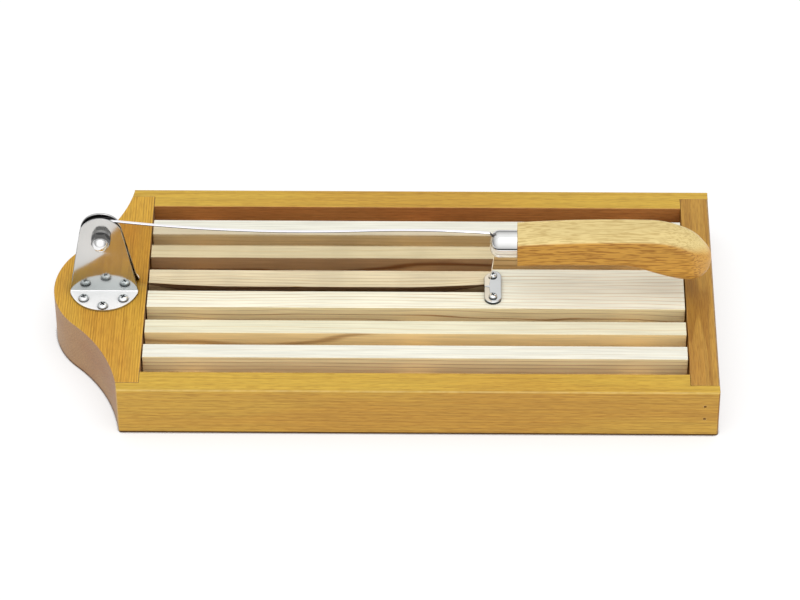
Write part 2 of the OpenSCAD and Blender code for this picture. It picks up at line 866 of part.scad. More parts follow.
module handle_body() {
    ring_n = 4 * corner_steps;
    last = len(handle_stations) - 1;
    points = [for (x = handle_stations) each handle_ring(x)];
    sides = [for (k = [0 : last - 1], i = [0 : ring_n - 1]) let (
        j = (i + 1) % ring_n,
        a = k * ring_n,
        b = a + ring_n
    ) each [[a + i, b + i, b + j], [a + i, b + j, a + j]]];
    front_cap = [for (i = [0 : ring_n - 1]) i];
    butt_cap = [for (i = [0 : ring_n - 1]) last * ring_n + ring_n - 1 - i];
    polyhedron(points, concat(sides, [front_cap, butt_cap]));
}

module handle() {
    pocket_l = tang_l + tang_fit;
    pocket_h = tang_h + 2 * tang_fit;
    pocket_t = blade_t + 2 * tang_fit;
    color(handle_color) translate([pivot_x + ferrule_u, 0, pivot_z - handle_drop]) difference() {
        handle_body();
        translate([-eps, -pocket_t / 2, -pocket_h / 2]) cube([pocket_l + eps, pocket_t, pocket_h]);
    }
}

front_rail();
rear_rail();
left_end_board();
right_end_board();
corner_nails();
bottom_panel();
panel_nails();
left_bearer();
middle_bearer();
right_bearer();
cutting_slat();
front_inner_slat();
front_outer_slat();
rear_inner_slat();
rear_outer_slat();
slat_screws();
stop_plate();
stop_plate_screws();
front_bracket();
rear_bracket();
front_bracket_screws();
rear_bracket_screws();
pivot_bolt();
pivot_washer();
cap_nut();
blade();
ferrule();
handle();
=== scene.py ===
# %% [markdown]
# # A bread guillotine, dressed for its portrait
#
# The imported model is a fixed frame: every board, slat, plate and screw already has its size and
# its place. This notebook gives each of them the edges and the finish that a real one has. The
# frame is loaded first.

# %% Load the frame
import json
import math

import bmesh
import bpy
from mathutils import Matrix, Vector

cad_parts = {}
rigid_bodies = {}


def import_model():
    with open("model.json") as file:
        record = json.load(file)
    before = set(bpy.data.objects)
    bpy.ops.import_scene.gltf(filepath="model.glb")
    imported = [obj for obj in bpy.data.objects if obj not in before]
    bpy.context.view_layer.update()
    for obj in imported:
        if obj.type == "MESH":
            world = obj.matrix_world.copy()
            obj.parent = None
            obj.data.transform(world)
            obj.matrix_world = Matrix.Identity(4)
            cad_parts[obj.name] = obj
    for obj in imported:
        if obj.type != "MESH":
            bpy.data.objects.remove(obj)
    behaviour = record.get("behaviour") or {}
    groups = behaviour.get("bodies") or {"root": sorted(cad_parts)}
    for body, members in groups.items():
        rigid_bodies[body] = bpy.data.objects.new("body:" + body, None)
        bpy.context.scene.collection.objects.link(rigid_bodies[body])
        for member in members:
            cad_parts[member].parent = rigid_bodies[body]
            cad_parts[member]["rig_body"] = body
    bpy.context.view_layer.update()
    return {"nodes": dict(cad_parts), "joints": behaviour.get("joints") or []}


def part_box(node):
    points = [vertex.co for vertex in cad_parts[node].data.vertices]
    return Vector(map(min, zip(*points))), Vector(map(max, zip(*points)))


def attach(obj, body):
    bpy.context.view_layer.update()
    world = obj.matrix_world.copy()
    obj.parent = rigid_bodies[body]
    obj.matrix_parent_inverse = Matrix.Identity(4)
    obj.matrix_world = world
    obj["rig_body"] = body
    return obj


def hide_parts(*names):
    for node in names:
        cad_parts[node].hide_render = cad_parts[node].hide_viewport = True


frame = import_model()
nodes = frame["nodes"]
MM = 0.001

# %% [markdown]
# ## The camera
#
# The portrait was taken from far away with a long lens, from the front, about 42 degrees above
# the table. A camera could be aimed with a Track To constraint, but the small turn and tilt of a
# hand-held shot are easier to keep when the three axes of its matrix are written out.

# %% Camera
IMAGE_W = 800
FOCAL_PX = 4023.7
SENSOR = 36.0
ELEVATION, YAW, ROLL = (math.radians(a) for a in (42.0, -1.019, -0.391))
DISTANCE, SHIFT_X, SHIFT_Y = 2.755, -0.01349, 0.02059
AIM = Vector((0.0244, 0, 0))

ahead = math.cos(ELEVATION)
forward = Vector((math.sin(YAW) * ahead, math.cos(YAW) * ahead, -math.sin(ELEVATION)))
level = Vector((math.cos(YAW), -math.sin(YAW), 0))
upright = level.cross(forward)
right = math.cos(ROLL) * level + math.sin(ROLL) * upright
up = math.cos(ROLL) * upright - math.sin(ROLL) * level
eye = AIM - DISTANCE * forward + SHIFT_X * right + SHIFT_Y * up

camera_data = bpy.data.cameras.new("portrait_camera")
camera_data.sensor_width = SENSOR
camera_data.lens = FOCAL_PX * SENSOR / IMAGE_W
camera = bpy.data.objects.new("portrait_camera", camera_data)
bpy.context.scene.collection.objects.link(camera)
camera.matrix_world = Matrix.Translation(eye) @ Matrix((right, up, -forward)).transposed().to_4x4()
bpy.context.scene.camera = camera
print("camera at", [round(x, 3) for x in eye], "lens", round(camera_data.lens, 1), "mm")

# %% [markdown]
# ## Small tools for building shaders
#
# A material is a net of nodes. Written out one call at a time it is hard to read, so these small
# helpers wire a socket, add a node, do one sum, ease a value into a range, mix two colours, make
# stretched noise, or start a node group with named sockets.

# %% Shader helpers


def feed(tree, socket, value):
    """Wires a socket to a socket, or sets a plain value on it."""
    if isinstance(value, bpy.types.NodeSocket):
        tree.links.new(value, socket)
    elif value is not None:
        socket.default_value = value


def add(tree, kind, settings=None, **inputs):
    """Adds a node with its settings, and feeds its inputs by name (underscores stand for spaces)."""
    made = tree.nodes.new(kind)
    for key, value in (settings or {}).items():
        setattr(made, key, value)
    for key, value in inputs.items():
        feed(tree, made.inputs[key.replace("_", " ")], value)
    return made


def sum_of(tree, operation, *values):
    """One Math node."""
    made = add(tree, "ShaderNodeMath", {"operation": operation})
    for socket, value in zip(made.inputs, values):
        feed(tree, socket, value)
    return made.outputs[0]


def vector_of(tree, operation, *values):
    """One Vector Math node."""
    made = add(tree, "ShaderNodeVectorMath", {"operation": operation})
    for socket, value in zip(made.inputs, values):
        feed(tree, socket, value)
    return made.outputs["Value" if operation in ("LENGTH", "DOT_PRODUCT") else "Vector"]


def ranged(tree, value, low, high, to_low=0.0, to_high=1.0):
    """Eases a value from one range into another."""
    made = add(tree, "ShaderNodeMapRange", {"interpolation_type": "SMOOTHSTEP"}, Value=value)
    for key, number in zip(("From Min", "From Max", "To Min", "To Max"), (low, high, to_low, to_high)):
        feed(tree, made.inputs[key], number)
    return made.outputs["Result"]


def mixed(tree, share, first, second, blend="MIX"):
    """Mixes two colours."""
    made = tree.nodes.new("ShaderNodeMix")
    made.data_type = "RGBA"
    made.blend_type = blend
    feed(tree, made.inputs["Factor"], share)
    feed(tree, made.inputs[6], first)
    feed(tree, made.inputs[7], second)
    return made.outputs[2]


def band(tree, value, rise, fall):
    """One between two slopes: a value rises over the first range and falls over the second."""
    return sum_of(tree, "MULTIPLY", ranged(tree, value, *rise), ranged(tree, value, *fall, 1.0, 0.0))


def axes_of(tree, vector):
    """The X, Y and Z of a vector."""
    return add(tree, "ShaderNodeSeparateXYZ", Vector=vector).outputs


def noise(tree, vector, stretch=None, detail=3.0, scale=1.0):
    """Noise from zero to one, stretched along the axes if a stretch is given."""
    if stretch is not None:
        vector = vector_of(tree, "MULTIPLY", vector, stretch)
    return add(tree, "ShaderNodeTexNoise", Vector=vector, Scale=scale, Detail=detail).outputs["Fac"]


def start_group(name, inputs, outputs):
    """A shader node group with named sockets: {name: (socket type, default)}."""
    tree = bpy.data.node_groups.new(name, "ShaderNodeTree")
    for key, (kind, default) in inputs.items():
        socket = tree.interface.new_socket(key, in_out="INPUT", socket_type=kind)
        if default is not None:
            socket.default_value = default
    for key, kind in outputs.items():
        tree.interface.new_socket(key, in_out="OUTPUT", socket_type=kind)
    return tree, tree.nodes.new("NodeGroupInput").outputs, tree.nodes.new("NodeGroupOutput").inputs


FLOAT, VECTOR = "NodeSocketFloat", "NodeSocketVector"
print("shader helpers ready")

# %% [markdown]
# ## The studio
#
# The part stands on a light table inside a light tent. The tent grows brighter from its foot to
# its crown, so tops are brighter than upright faces, polished steel that lies flat mirrors a clean
# white, and steel that curves away shows the darker foot as a line. Its front half is brighter
# too, so faces that look away from the camera are the darkest, and those are the ones that the
# blade mirrors. The table glows from below, which keeps the shadow on it pale.

# %% Floor, sky and lamps
TABLE_SIZE = 9
bpy.ops.object.select_all(action="DESELECT")
bpy.ops.mesh.primitive_plane_add(size=TABLE_SIZE, location=(0, 0, 0))
floor = bpy.context.object
floor.name = "floor"

LOW_TENT, HIGH_TENT, FRONT_TENT = 0.15, 1.33, 0.62
world = bpy.data.worlds.new("studio")
world.use_nodes = True
bpy.context.scene.world = world
sky = world.node_tree
axes = axes_of(sky, sky.nodes.new("ShaderNodeTexCoord").outputs["Generated"])
height = add(sky, "ShaderNodeMapRange", Value=axes["Z"], To_Min=LOW_TENT, To_Max=HIGH_TENT)
front = add(sky, "ShaderNodeMapRange", Value=axes["Y"], From_Max=-1.0, To_Max=FRONT_TENT)
glow = sum_of(sky, "ADD", height.outputs["Result"], front.outputs["Result"])
feed(sky, sky.nodes["Background"].inputs["Strength"], glow)
feed(sky, sky.nodes["Background"].inputs["Color"], (1, 1, 1, 1))


def soft_box(name, place, target, width, height, watts):
    """A rectangular area lamp at a place, turned towards a target."""
    data = bpy.data.lights.new(name, "AREA")
    data.shape = "RECTANGLE"
    data.size, data.size_y, data.energy = width, height, watts
    lamp = bpy.data.objects.new(name, data)
    bpy.context.scene.collection.objects.link(lamp)
    lamp.location = place
    lamp.rotation_euler = (Vector(target) - Vector(place)).to_track_quat("-Z", "Y").to_euler()


BOX_PLACE, BOX_SIDE, BOX_WATTS = (0.35, -0.45, 1.9), 1.2, 5
soft_box("overhead_box", BOX_PLACE, (0, 0, 0), BOX_SIDE, BOX_SIDE, BOX_WATTS)
bpy.context.scene.view_settings.view_transform = "Standard"
bpy.context.scene.view_settings.look = "None"
print("table, tent and soft box are up")

# %% [markdown]
# ## Sawn grain
#
# What several finishes share is built once as a node group. The first is the grain. A board is
# cut out of a trunk, so its lines are rings round the pith. A Wave texture could draw lines, but
# measuring the distance of each point from a pith that lies outside the board gives long lines on
# the faces and arcs on the ends, all in one pattern that runs through the wood. A slow wobble
# bends the rings, and stretched noise adds fibres. "Late Start" says how thin the dark part is.

# %% Group: sawn grain
WOBBLE_STRETCH, FIBRE_STRETCH, PATCH_STRETCH = (3.2, 22, 22), (28, 950, 950), (5, 34, 34)
tree, given, made = start_group(
    "sawn_grain",
    {
        "Vector": (VECTOR, None),
        "Pith": (VECTOR, (0, 0, -0.1)),
        "Ring Width": (FLOAT, 0.003),
        "Wobble": (FLOAT, 0.004),
        "Late Start": (FLOAT, 0.4),
    },
    {"Ring": FLOAT, "Fibre": FLOAT, "Patch": FLOAT},
)
spot = given["Vector"]
slow = sum_of(tree, "SUBTRACT", noise(tree, spot, WOBBLE_STRETCH), 0.5)
bend = sum_of(tree, "MULTIPLY", slow, given["Wobble"])
across = vector_of(tree, "MULTIPLY", vector_of(tree, "SUBTRACT", spot, given["Pith"]), (0, 1, 1))
radius = sum_of(tree, "ADD", vector_of(tree, "LENGTH", across), bend)
year = sum_of(tree, "DIVIDE", radius, given["Ring Width"])
season = sum_of(tree, "FRACT", year)
rise = ranged(tree, season, given["Late Start"], 0.86)
fall = ranged(tree, season, 0.88, 1.0, 1.0, 0.0)
strength = add(tree, "ShaderNodeTexWhiteNoise", {"noise_dimensions": "1D"}, W=sum_of(tree, "FLOOR", year))
lively = ranged(tree, strength.outputs["Value"], 0.0, 1.0, 0.35, 1.0)
feed(tree, made["Ring"], sum_of(tree, "MULTIPLY", sum_of(tree, "MULTIPLY", rise, fall), lively))
feed(tree, made["Fibre"], noise(tree, spot, FIBRE_STRETCH))
feed(tree, made["Patch"], noise(tree, spot, PATCH_STRETCH, 2.0))
SAWN_GRAIN = tree
print("group", tree.name)

# %% [markdown]
# ## Flecks
#
# Hardwood has short dark dashes that lie along the grain, and so has softwood where a stain has
# settled in its pores. They could be modelled as scratches, but there are thousands. Noise that
# is stretched along X and cut at a level gives dashes of any length and width.

# %% Group: hardwood flecks
tree, given, made = start_group(
    "ray_flecks",
    {"Vector": (VECTOR, None), "Length": (FLOAT, 0.008), "Width": (FLOAT, 0.0009)},
    {"Fleck": FLOAT, "Pore": FLOAT},
)
along = sum_of(tree, "DIVIDE", 1.0, given["Length"])
thin = sum_of(tree, "DIVIDE", 1.0, given["Width"])
stretch = add(tree, "ShaderNodeCombineXYZ", X=along, Y=thin, Z=thin).outputs["Vector"]
feed(tree, made["Fleck"], ranged(tree, noise(tree, given["Vector"], stretch, 1.0), 0.48, 0.60))
feed(tree, made["Pore"], noise(tree, given["Vector"], stretch, 2.0, 2.3))
RAY_FLECKS = tree
print("group", tree.name)

# %% [markdown]
# ## Worn edges and a painted highlight
#
# Hands rub edges first, and a rounded edge catches a line of light, which is painted here as a
# paler colour. Pointiness would find them only on dense meshes, so the Bevel node is asked instead:
# where its rounded normal differs from the plain one, there is an edge. The upper long edges, whose
# small bevels slope between up and sideways, are added as a painted highlight, and noise
# breaks it up.

# %% Group: worn edges and painted highlight
tree, given, made = start_group(
    "worn_and_lit_edges",
    {"Vector": (VECTOR, None), "Normal": (VECTOR, (0, 0, 1)), "Reach": (FLOAT, 0.0012)},
    {"Edge": FLOAT},
)
rounded = add(tree, "ShaderNodeBevel", {"samples": 4}, Radius=given["Reach"]).outputs["Normal"]
plain = tree.nodes.new("ShaderNodeNewGeometry").outputs["Normal"]
turned = sum_of(tree, "SUBTRACT", 1.0, vector_of(tree, "DOT_PRODUCT", rounded, plain))
slope = axes_of(tree, given["Normal"])
eased = band(tree, slope["Z"], (0.35, 0.6), (0.85, 0.97))
along = ranged(tree, sum_of(tree, "ABSOLUTE", slope["X"]), 0.2, 0.5, 1.0, 0.0)
chips = noise(tree, given["Vector"], detail=2.0, scale=180.0)
paler = ranged(tree, chips, 0.3, 0.7, 0.5, 1.0)
# painted highlight: the upper long edges, where their small bevels slope up
long_edge = sum_of(tree, "MULTIPLY", eased, along)
edge = sum_of(tree, "MAXIMUM", ranged(tree, turned, 0.02, 0.25), long_edge)
feed(tree, made["Edge"], sum_of(tree, "MULTIPLY", edge, paler))
WORN_AND_LIT_EDGES = tree
print("group", tree.name)

# %% [markdown]
# ## Polish
#
# A polishing wheel leaves faint lines the way it ran, and the shine is hazy in patches. Both are
# noise: stretched for the lines, round for the haze. Each finish says how much it takes of them.

# %% Group: polished steel
tree, given, made = start_group(
    "polish_marks",
    {"Vector": (VECTOR, None), "Stretch": (VECTOR, (30, 30, 600))},
    {"Mark": FLOAT, "Haze": FLOAT},
)
feed(tree, made["Mark"], noise(tree, given["Vector"], given["Stretch"]))
feed(tree, made["Haze"], noise(tree, given["Vector"], scale=26.0))
POLISH_MARKS = tree
print("group", tree.name)

# %% [markdown]
# ## The finishes
#
# Every finish starts alike: a material with its Principled shader and the piece's own coordinates.
# Three small helpers serve nearly all of them: a mask for faces that look up, a plain grey, and a
# colour that is tinted where a mask says so.

# %% Finish helpers


def surface(name):
    """A new material: its node tree, its Principled shader and its Object coordinates."""
    material = bpy.data.materials.new(name)
    material.use_nodes = True
    tree = material.node_tree
    shader = tree.nodes["Principled BSDF"]
    place = tree.nodes.new("ShaderNodeTexCoord").outputs
    return material, tree, shader, place


def facing_up(tree, place):
    """One on faces that look up in the piece's own space, zero on upright ones."""
    return ranged(tree, axes_of(tree, place["Normal"])["Z"], 0.2, 0.7)


def grey(tree, value):
    """A colour with the same value in all three channels."""
    return add(tree, "ShaderNodeCombineColor", Red=value, Green=value, Blue=value).outputs["Color"]


def tinted(tree, share, colour, factor):
    """A colour that is multiplied by a factor where the share is one."""
    return mixed(tree, share, colour, mixed(tree, 1.0, colour, (*factor, 1), "MULTIPLY"))


print("finish helpers ready")

# %% [markdown]
# ## Wood
#
# The tray is softwood under a honey-coloured stain, which is blotchy and gathers in the pores; a
# painted shadow darkens its foot. The slats are bare pine, tan on their sides, where the rings show,
# and painted nearly white with light on top. Two materials could be drawn by hand, but both are
# sawn timber, so one function makes them all. It takes two ring colours, a second pair with painted
# light for faces that look up, the pith, and the strength of the stain. The rails are redder on
# their sheltered inner side, and darker on faces that look right: end grain and painted shade. The
# slats' backs, the side that the blade mirrors, are painted darker with shade, and so are the
# walls of the blade's slot. The grain runs along X, and a Mapping node turns it for the boards that
# run across the tray.

# %% Wood
SLOT_HALF, SLOT_FLOOR = 3.4 * MM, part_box("blade")[0].z - 1.8 * MM
stop_low, stop_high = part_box("stop_plate")
SLOT_END = (stop_low.x + stop_high.x) / 2
SOFT_STEP, SHELTER_STEP = 0.2 * MM, 0.6 * MM
LATE_BOARD, LATE_SLAT = 0.4, 0.74
PORE_L, PORE_W = 10 * MM, 0.6 * MM
FOOT_LOW, FOOT_HIGH = 0.7 * MM, 1.8 * MM
# painted shade factors: the slot's walls and faces that look right; then the rails' redder sheltered side
SLOT_SHADE, RIGHT_FACE_SHADE, SHELTER_SHADE = (0.42, 0.35, 0.33), (0.62, 0.53, 0.48), (0.92, 0.68, 1.25)
# the stain's blotches and pores, then a painted shadow along the foot
BLOTCH_SHADE, PORE_SHADE, FOOT_SHADE = (0.82, 0.64, 0.62), (0.62, 0.52, 0.46), (0.48, 0.38, 0.34)
STRAW = (0.95, 0.80, 0.45)


def in_slot(tree, at):
    """One on the walls of the blade's slot, where shade is painted."""
    beside = ranged(tree, sum_of(tree, "ABSOLUTE", at["Y"]), SLOT_HALF, SLOT_HALF + SOFT_STEP, 1.0, 0.0)
    before = ranged(tree, at["X"], SLOT_END, SLOT_END + SOFT_STEP, 1.0, 0.0)
    above = ranged(tree, at["Z"], SLOT_FLOOR - SOFT_STEP, SLOT_FLOOR)
    return sum_of(tree, "MULTIPLY", sum_of(tree, "MULTIPLY", beside, before), above)


def stained(tree, colour, grain, turned, at, stain):
    """A blotchy stain that gathers in the pores, and a painted shadow along the foot of a board."""
    blotch = sum_of(tree, "MULTIPLY", ranged(tree, grain["Patch"], 0.42, 0.66), stain)
    colour = tinted(tree, blotch, colour, BLOTCH_SHADE)
    pores = add(tree, "ShaderNodeGroup", {"node_tree": RAY_FLECKS}, Vector=turned, Length=PORE_L,
                Width=PORE_W).outputs["Fleck"]
    colour = tinted(tree, sum_of(tree, "MULTIPLY", pores, 0.25 + 0.35 * stain), colour, PORE_SHADE)
    # painted shadow along the foot of the board
    foot = ranged(tree, at["Z"], FOOT_LOW, FOOT_HIGH, 1.0, 0.0)
    return tinted(tree, foot, colour, FOOT_SHADE)


def wood(name, colours, pith, ring, wobble, turn=(0, 0, 0), contrast=1.0, top=None, stain=0.0,
         inside=None, back=None, dark_right_faces=False):
    """Sawn timber: rings between two colours, fibres, worn edges with a painted highlight, painted light
    and shade where asked, and a stain if it has one.
    """
    material, tree, shader, place = surface(name)
    turned = add(tree, "ShaderNodeMapping", Vector=place["Object"], Rotation=turn).outputs["Vector"]
    facing = add(tree, "ShaderNodeMapping", Vector=place["Normal"], Rotation=turn).outputs["Vector"]
    at = axes_of(tree, place["Object"])
    grain = add(tree, "ShaderNodeGroup", {"node_tree": SAWN_GRAIN}, Vector=turned, Pith=pith,
                Ring_Width=ring, Wobble=wobble, Late_Start=LATE_SLAT if back else LATE_BOARD).outputs
    late = sum_of(tree, "MULTIPLY", grain["Ring"], contrast)
    colour = mixed(tree, late, (*colours[0], 1), (*colours[1], 1))
    # painted light: faces that look up get the paler top pair
    if top:
        lit_top_colour = mixed(tree, late, (*top[0], 1), (*top[1], 1))
        colour = mixed(tree, facing_up(tree, place), colour, lit_top_colour)
    # painted shade on faces that look back (+Y), the side that the blade mirrors
    if back:
        colour = tinted(tree, ranged(tree, axes_of(tree, facing)["Y"], 0.3, 0.7), colour, back)
        # painted shade on the walls of the blade's slot
        colour = tinted(tree, in_slot(tree, at), colour, SLOT_SHADE)
    # darker on faces that look right (+X): end grain on the rails, and painted shade
    if dark_right_faces:
        end = ranged(tree, axes_of(tree, place["Normal"])["X"], 0.3, 0.6)
        colour = tinted(tree, end, colour, RIGHT_FACE_SHADE)
    if inside:
        depth = sum_of(tree, "ABSOLUTE", at["Y"])
        shelter = ranged(tree, depth, inside, inside + SHELTER_STEP, 1.0, 0.0)
        colour = tinted(tree, shelter, colour, SHELTER_SHADE)
    if stain:
        colour = stained(tree, colour, grain, turned, at, stain)
    fibre = ranged(tree, grain["Fibre"], 0.25, 0.75, 0.88, 1.08)
    colour = mixed(tree, 1.0, colour, grey(tree, fibre), "MULTIPLY")
    edge = add(tree, "ShaderNodeGroup", {"node_tree": WORN_AND_LIT_EDGES}, Vector=place["Object"],
               Normal=facing).outputs["Edge"]
    # worn edges and a painted highlight: a paler straw colour where the edge mask is
    paler = tuple(0.4 * a + 0.6 * b for a, b in zip((top or colours)[0], STRAW))
    colour = mixed(tree, sum_of(tree, "MULTIPLY", edge, 0.2 + 0.2 * stain), colour, (*paler, 1))
    feed(tree, shader.inputs["Base Color"], colour)
    feed(tree, shader.inputs["Roughness"], ranged(tree, grain["Fibre"], 0.2, 0.8, 0.40, 0.56))
    relief = sum_of(tree, "ADD", sum_of(tree, "MULTIPLY", grain["Ring"], 0.6), grain["Fibre"])
    bump = add(tree, "ShaderNodeBump", Strength=0.12, Distance=0.4 * MM, Height=relief)
    feed(tree, shader.inputs["Normal"], bump.outputs["Normal"])
    shader.inputs["Specular IOR Level"].default_value = 0.25
    return material


print("wood is ready, with the blade's slot ending at", round(SLOT_END / MM, 1), "mm")

# %% [markdown]
# Each finish is a pair of ring colours, early wood first, and a place for the pith. A near pith
# gives tight arcs, a far one straight lines, and a large wobble the flames of a plank that was cut
# close to the bark.

# %% Wood finishes
ACROSS = (0, 0, math.radians(90))
HONEY = (0.555, 0.325, 0.050), (0.42, 0.213, 0.0295)
# HONEY_TOP and ORANGE: painted light on faces that look up
HONEY_TOP = (0.61, 0.39, 0.055), (0.47, 0.268, 0.031)
MAUVE = (0.40, 0.235, 0.115), (0.36, 0.205, 0.095)
ORANGE = (0.66, 0.375, 0.045), (0.36, 0.165, 0.012)
RUSSET = (0.48, 0.26, 0.046), (0.27, 0.112, 0.015)
RAIL_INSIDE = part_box("rear_rail")[0].y + 0.1 * MM
rail_finish = wood("honey_rail", HONEY, (0, 0.02, -0.14), 0.0023, 0.008, contrast=0.5, top=HONEY_TOP,
                   stain=0.45, inside=RAIL_INSIDE, dark_right_faces=True)
left_board_finish = wood("honey_left_board", MAUVE, (0, 0.03, -0.11), 0.0014, 0.004, ACROSS, 0.7,
                         top=ORANGE, stain=0.5)
right_board_finish = wood("honey_right_board", RUSSET, (0, 0.28, -0.12), 0.0060, 0.060, ACROSS, 0.9,
                          stain=0.55, dark_right_faces=True)
TAN = (0.98, 0.74, 0.37), (0.40, 0.19, 0.06)
PINE = (1.0, 0.85, 0.48), (0.46, 0.23, 0.08)
# the next three are the slats' tops with painted light, nearly white
MILK = (0.92, 0.90, 0.75), (0.64, 0.46, 0.25)
CREAM = (0.78, 0.745, 0.56), (0.72, 0.63, 0.43)
WHITE = (0.79, 0.78, 0.68), (0.75, 0.70, 0.57)
# painted shade factors for the slats' backs
BACK_SHADE, BACK_SHADE_DARK, BACK_SHADE_PALE = (0.74, 0.70, 0.84), (0.56, 0.54, 0.81), (0.83, 0.90, 1.19)
slat_finishes = {
    "cutting_slat": wood("pine_cutting_slat", PINE, (0, -0.07, -0.02), 0.0027, 0.022,
                         top=MILK, back=BACK_SHADE),
    "front_inner_slat": wood("pine_front_inner", TAN, (0, -0.11, 0.045), 0.0044, 0.014,
                             top=CREAM, back=BACK_SHADE_DARK),
    "front_outer_slat": wood("pine_front_outer", PINE, (0, -0.02, -0.03), 0.0026, 0.006,
                             top=WHITE, back=BACK_SHADE_PALE),
    "rear_inner_slat": wood("pine_rear_inner", TAN, (0, 0.09, -0.05), 0.0040, 0.008,
                            top=CREAM, back=BACK_SHADE),
    "rear_outer_slat": wood("pine_rear_outer", PINE, (0, 0.01, -0.02), 0.0038, 0.009,
                            top=WHITE, back=BACK_SHADE),
}
bearer_finish = wood("pine_bearer", TAN, (0, 0.25, -0.06), 0.0040, 0.006, ACROSS, 0.7)
PLY = (0.62, 0.45, 0.27), (0.48, 0.31, 0.16)
panel_finish = wood("plywood_panel", PLY, (0, 0.1, -0.3), 0.0060, 0.030, contrast=0.5)
print("slat finishes:", len(slat_finishes), "and five for rails, boards, bearers and bottom")

# %% [markdown]
# ## The handle's wood
#
# The handle is a hardwood of another kind: no broad rings, but thousands of short dark flecks that
# lie along it, on a golden ground. A sheen is painted on it: its faces that look up are paler. The
# flecks fade on the butt, where the wood is cut across.

# %% Handle wood
FLECK_L, FLECK_W = 11 * MM, 0.8 * MM
GOLD, PALE_GOLD = (0.62, 0.325, 0.058, 1), (0.735, 0.575, 0.245, 1)
FLECK_BROWN, PALE_BROWN = (0.38, 0.168, 0.028, 1), (0.57, 0.41, 0.15, 1)
handle_finish, tree, shader, place = surface("flecked_handle")
flecks = add(tree, "ShaderNodeGroup", {"node_tree": RAY_FLECKS}, Vector=place["Object"],
             Length=FLECK_L, Width=FLECK_W).outputs
grain = add(tree, "ShaderNodeGroup", {"node_tree": SAWN_GRAIN}, Vector=place["Object"],
            Pith=(0, -0.05, 0.02), Ring_Width=0.0065, Wobble=0.008).outputs
faces = axes_of(tree, place["Normal"])
# painted sheen: faces that look up get a paler ground and paler flecks
paler = ranged(tree, faces["Z"], 0.35, 0.8)
ground = mixed(tree, paler, GOLD, PALE_GOLD)
spots = mixed(tree, paler, FLECK_BROWN, PALE_BROWN)
tone = ranged(tree, grain["Patch"], 0.25, 0.75, 0.86, 1.10)
side_on = ranged(tree, faces["X"], 0.3, 0.8, 1.0, 0.4)
colour = mixed(tree, sum_of(tree, "MULTIPLY", flecks["Fleck"], side_on), ground, spots)
colour = mixed(tree, sum_of(tree, "MULTIPLY", grain["Ring"], 0.2), colour, spots)
feed(tree, shader.inputs["Base Color"], mixed(tree, 1.0, colour, grey(tree, tone), "MULTIPLY"))
feed(tree, shader.inputs["Roughness"], ranged(tree, flecks["Pore"], 0.3, 0.7, 0.36, 0.52))
relief = sum_of(tree, "SUBTRACT", flecks["Pore"], sum_of(tree, "MULTIPLY", flecks["Fleck"], 0.5))
bump = add(tree, "ShaderNodeBump", Strength=0.15, Distance=0.3 * MM, Height=relief)
feed(tree, shader.inputs["Normal"], bump.outputs["Normal"])
shader.inputs["Specular IOR Level"].default_value = 0.35
print("handle finish:", handle_finish.name)

# %% [markdown]
# ## Steel
#
# All the bright parts are steel. What makes steel look real is what it mirrors and the small
# faults of its polish: a haze that comes and goes, and faint lines the way the wheel ran. The
# blade is polished along its length, the pressed plates have no direction, and the screws are
# duller. One function makes the metal, and a second one may adjust it for a piece: it gets the
# colour and the gloss so far and gives them back changed.

# %% Steel
BRIGHT = (0.95, 0.95, 0.95, 1)


def steel(name, tint, smooth, rough, stretch, relief, adjust=None):
    """Polished metal: hazy patches and polishing lines between two roughnesses."""
    material, tree, shader, place = surface(name)
    spot = place["Object"]
    marks = add(tree, "ShaderNodeGroup", {"node_tree": POLISH_MARKS}, Vector=spot, Stretch=stretch).outputs
    edge = add(tree, "ShaderNodeGroup", {"node_tree": WORN_AND_LIT_EDGES}, Vector=spot,
               Reach=0.5 * MM).outputs["Edge"]
    lines = sum_of(tree, "MULTIPLY", marks["Mark"], 0.6)
    worn = sum_of(tree, "ADD", lines, sum_of(tree, "MULTIPLY", marks["Haze"], 0.5))
    gloss = ranged(tree, worn, 0.35, 0.8, smooth, rough)
    dull = tuple(0.9 * part for part in tint)
    colour = mixed(tree, ranged(tree, marks["Haze"], 0.35, 0.7), (*tint, 1), (*dull, 1))
    # painted highlight: edges are mixed towards bright
    colour = mixed(tree, sum_of(tree, "MULTIPLY", edge, 0.4), colour, BRIGHT)
    shader.inputs["Metallic"].default_value = 1.0
    if adjust:
        colour, gloss = adjust(tree, shader, place, colour, gloss)
    feed(tree, shader.inputs["Roughness"], gloss)
    feed(tree, shader.inputs["Base Color"], colour)
    bump = add(tree, "ShaderNodeBump", Strength=relief, Distance=0.05 * MM, Height=marks["Mark"])
    feed(tree, shader.inputs["Normal"], bump.outputs["Normal"])
    return material


print("steel is ready")

# %% [markdown]
# A folded plate is satin white where it lies flat, with a painted bluish shade just above the fold,
# dull on its sheared rims, with a painted shadow on the flange's low rim, and painted black with
# shade in the gap for the blade. Round heads and the cap nut have dark flanks, painted with shade,
# which is what makes them stand out from the plate under them. The ferrule and the blade have a
# painted thin dark line below their bright tops, where they curve away from the light; the blade's
# back is painted bright and the ferrule's sides are painted pale.

# %% How each steel piece differs
GAP_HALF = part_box("rear_bracket")[0].y
FLANGE_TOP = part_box("front_bracket")[0].z + 6 * MM
BLUISH_H = 22 * MM
HEX_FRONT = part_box("cap_nut")[1].y - 5.2 * MM
# painted light and shade for the steel: foot, low rim, gap, hexagon, flanks, sides, spine and line
BLUISH, SATIN = (0.74, 0.80, 0.82), (0.97, 0.96, 0.96, 1)
SHEARED, LOW_RIM_SHADOW, BLACK = (0.55, 0.55, 0.55, 1), (0.03, 0.03, 0.03, 1), (0.02, 0.02, 0.02, 1)
HEX_SHADE, FLANK_SHADE, CAP_SHADE = (0.15, 0.15, 0.15), (0.07, 0.08, 0.09), (0.92, 0.92, 0.92)
PALE_SIDE, SPINE, SPINE_LINE = (1.0, 0.98, 0.95, 1), (0.96, 0.95, 0.98, 1), (0.10, 0.09, 0.09, 1)


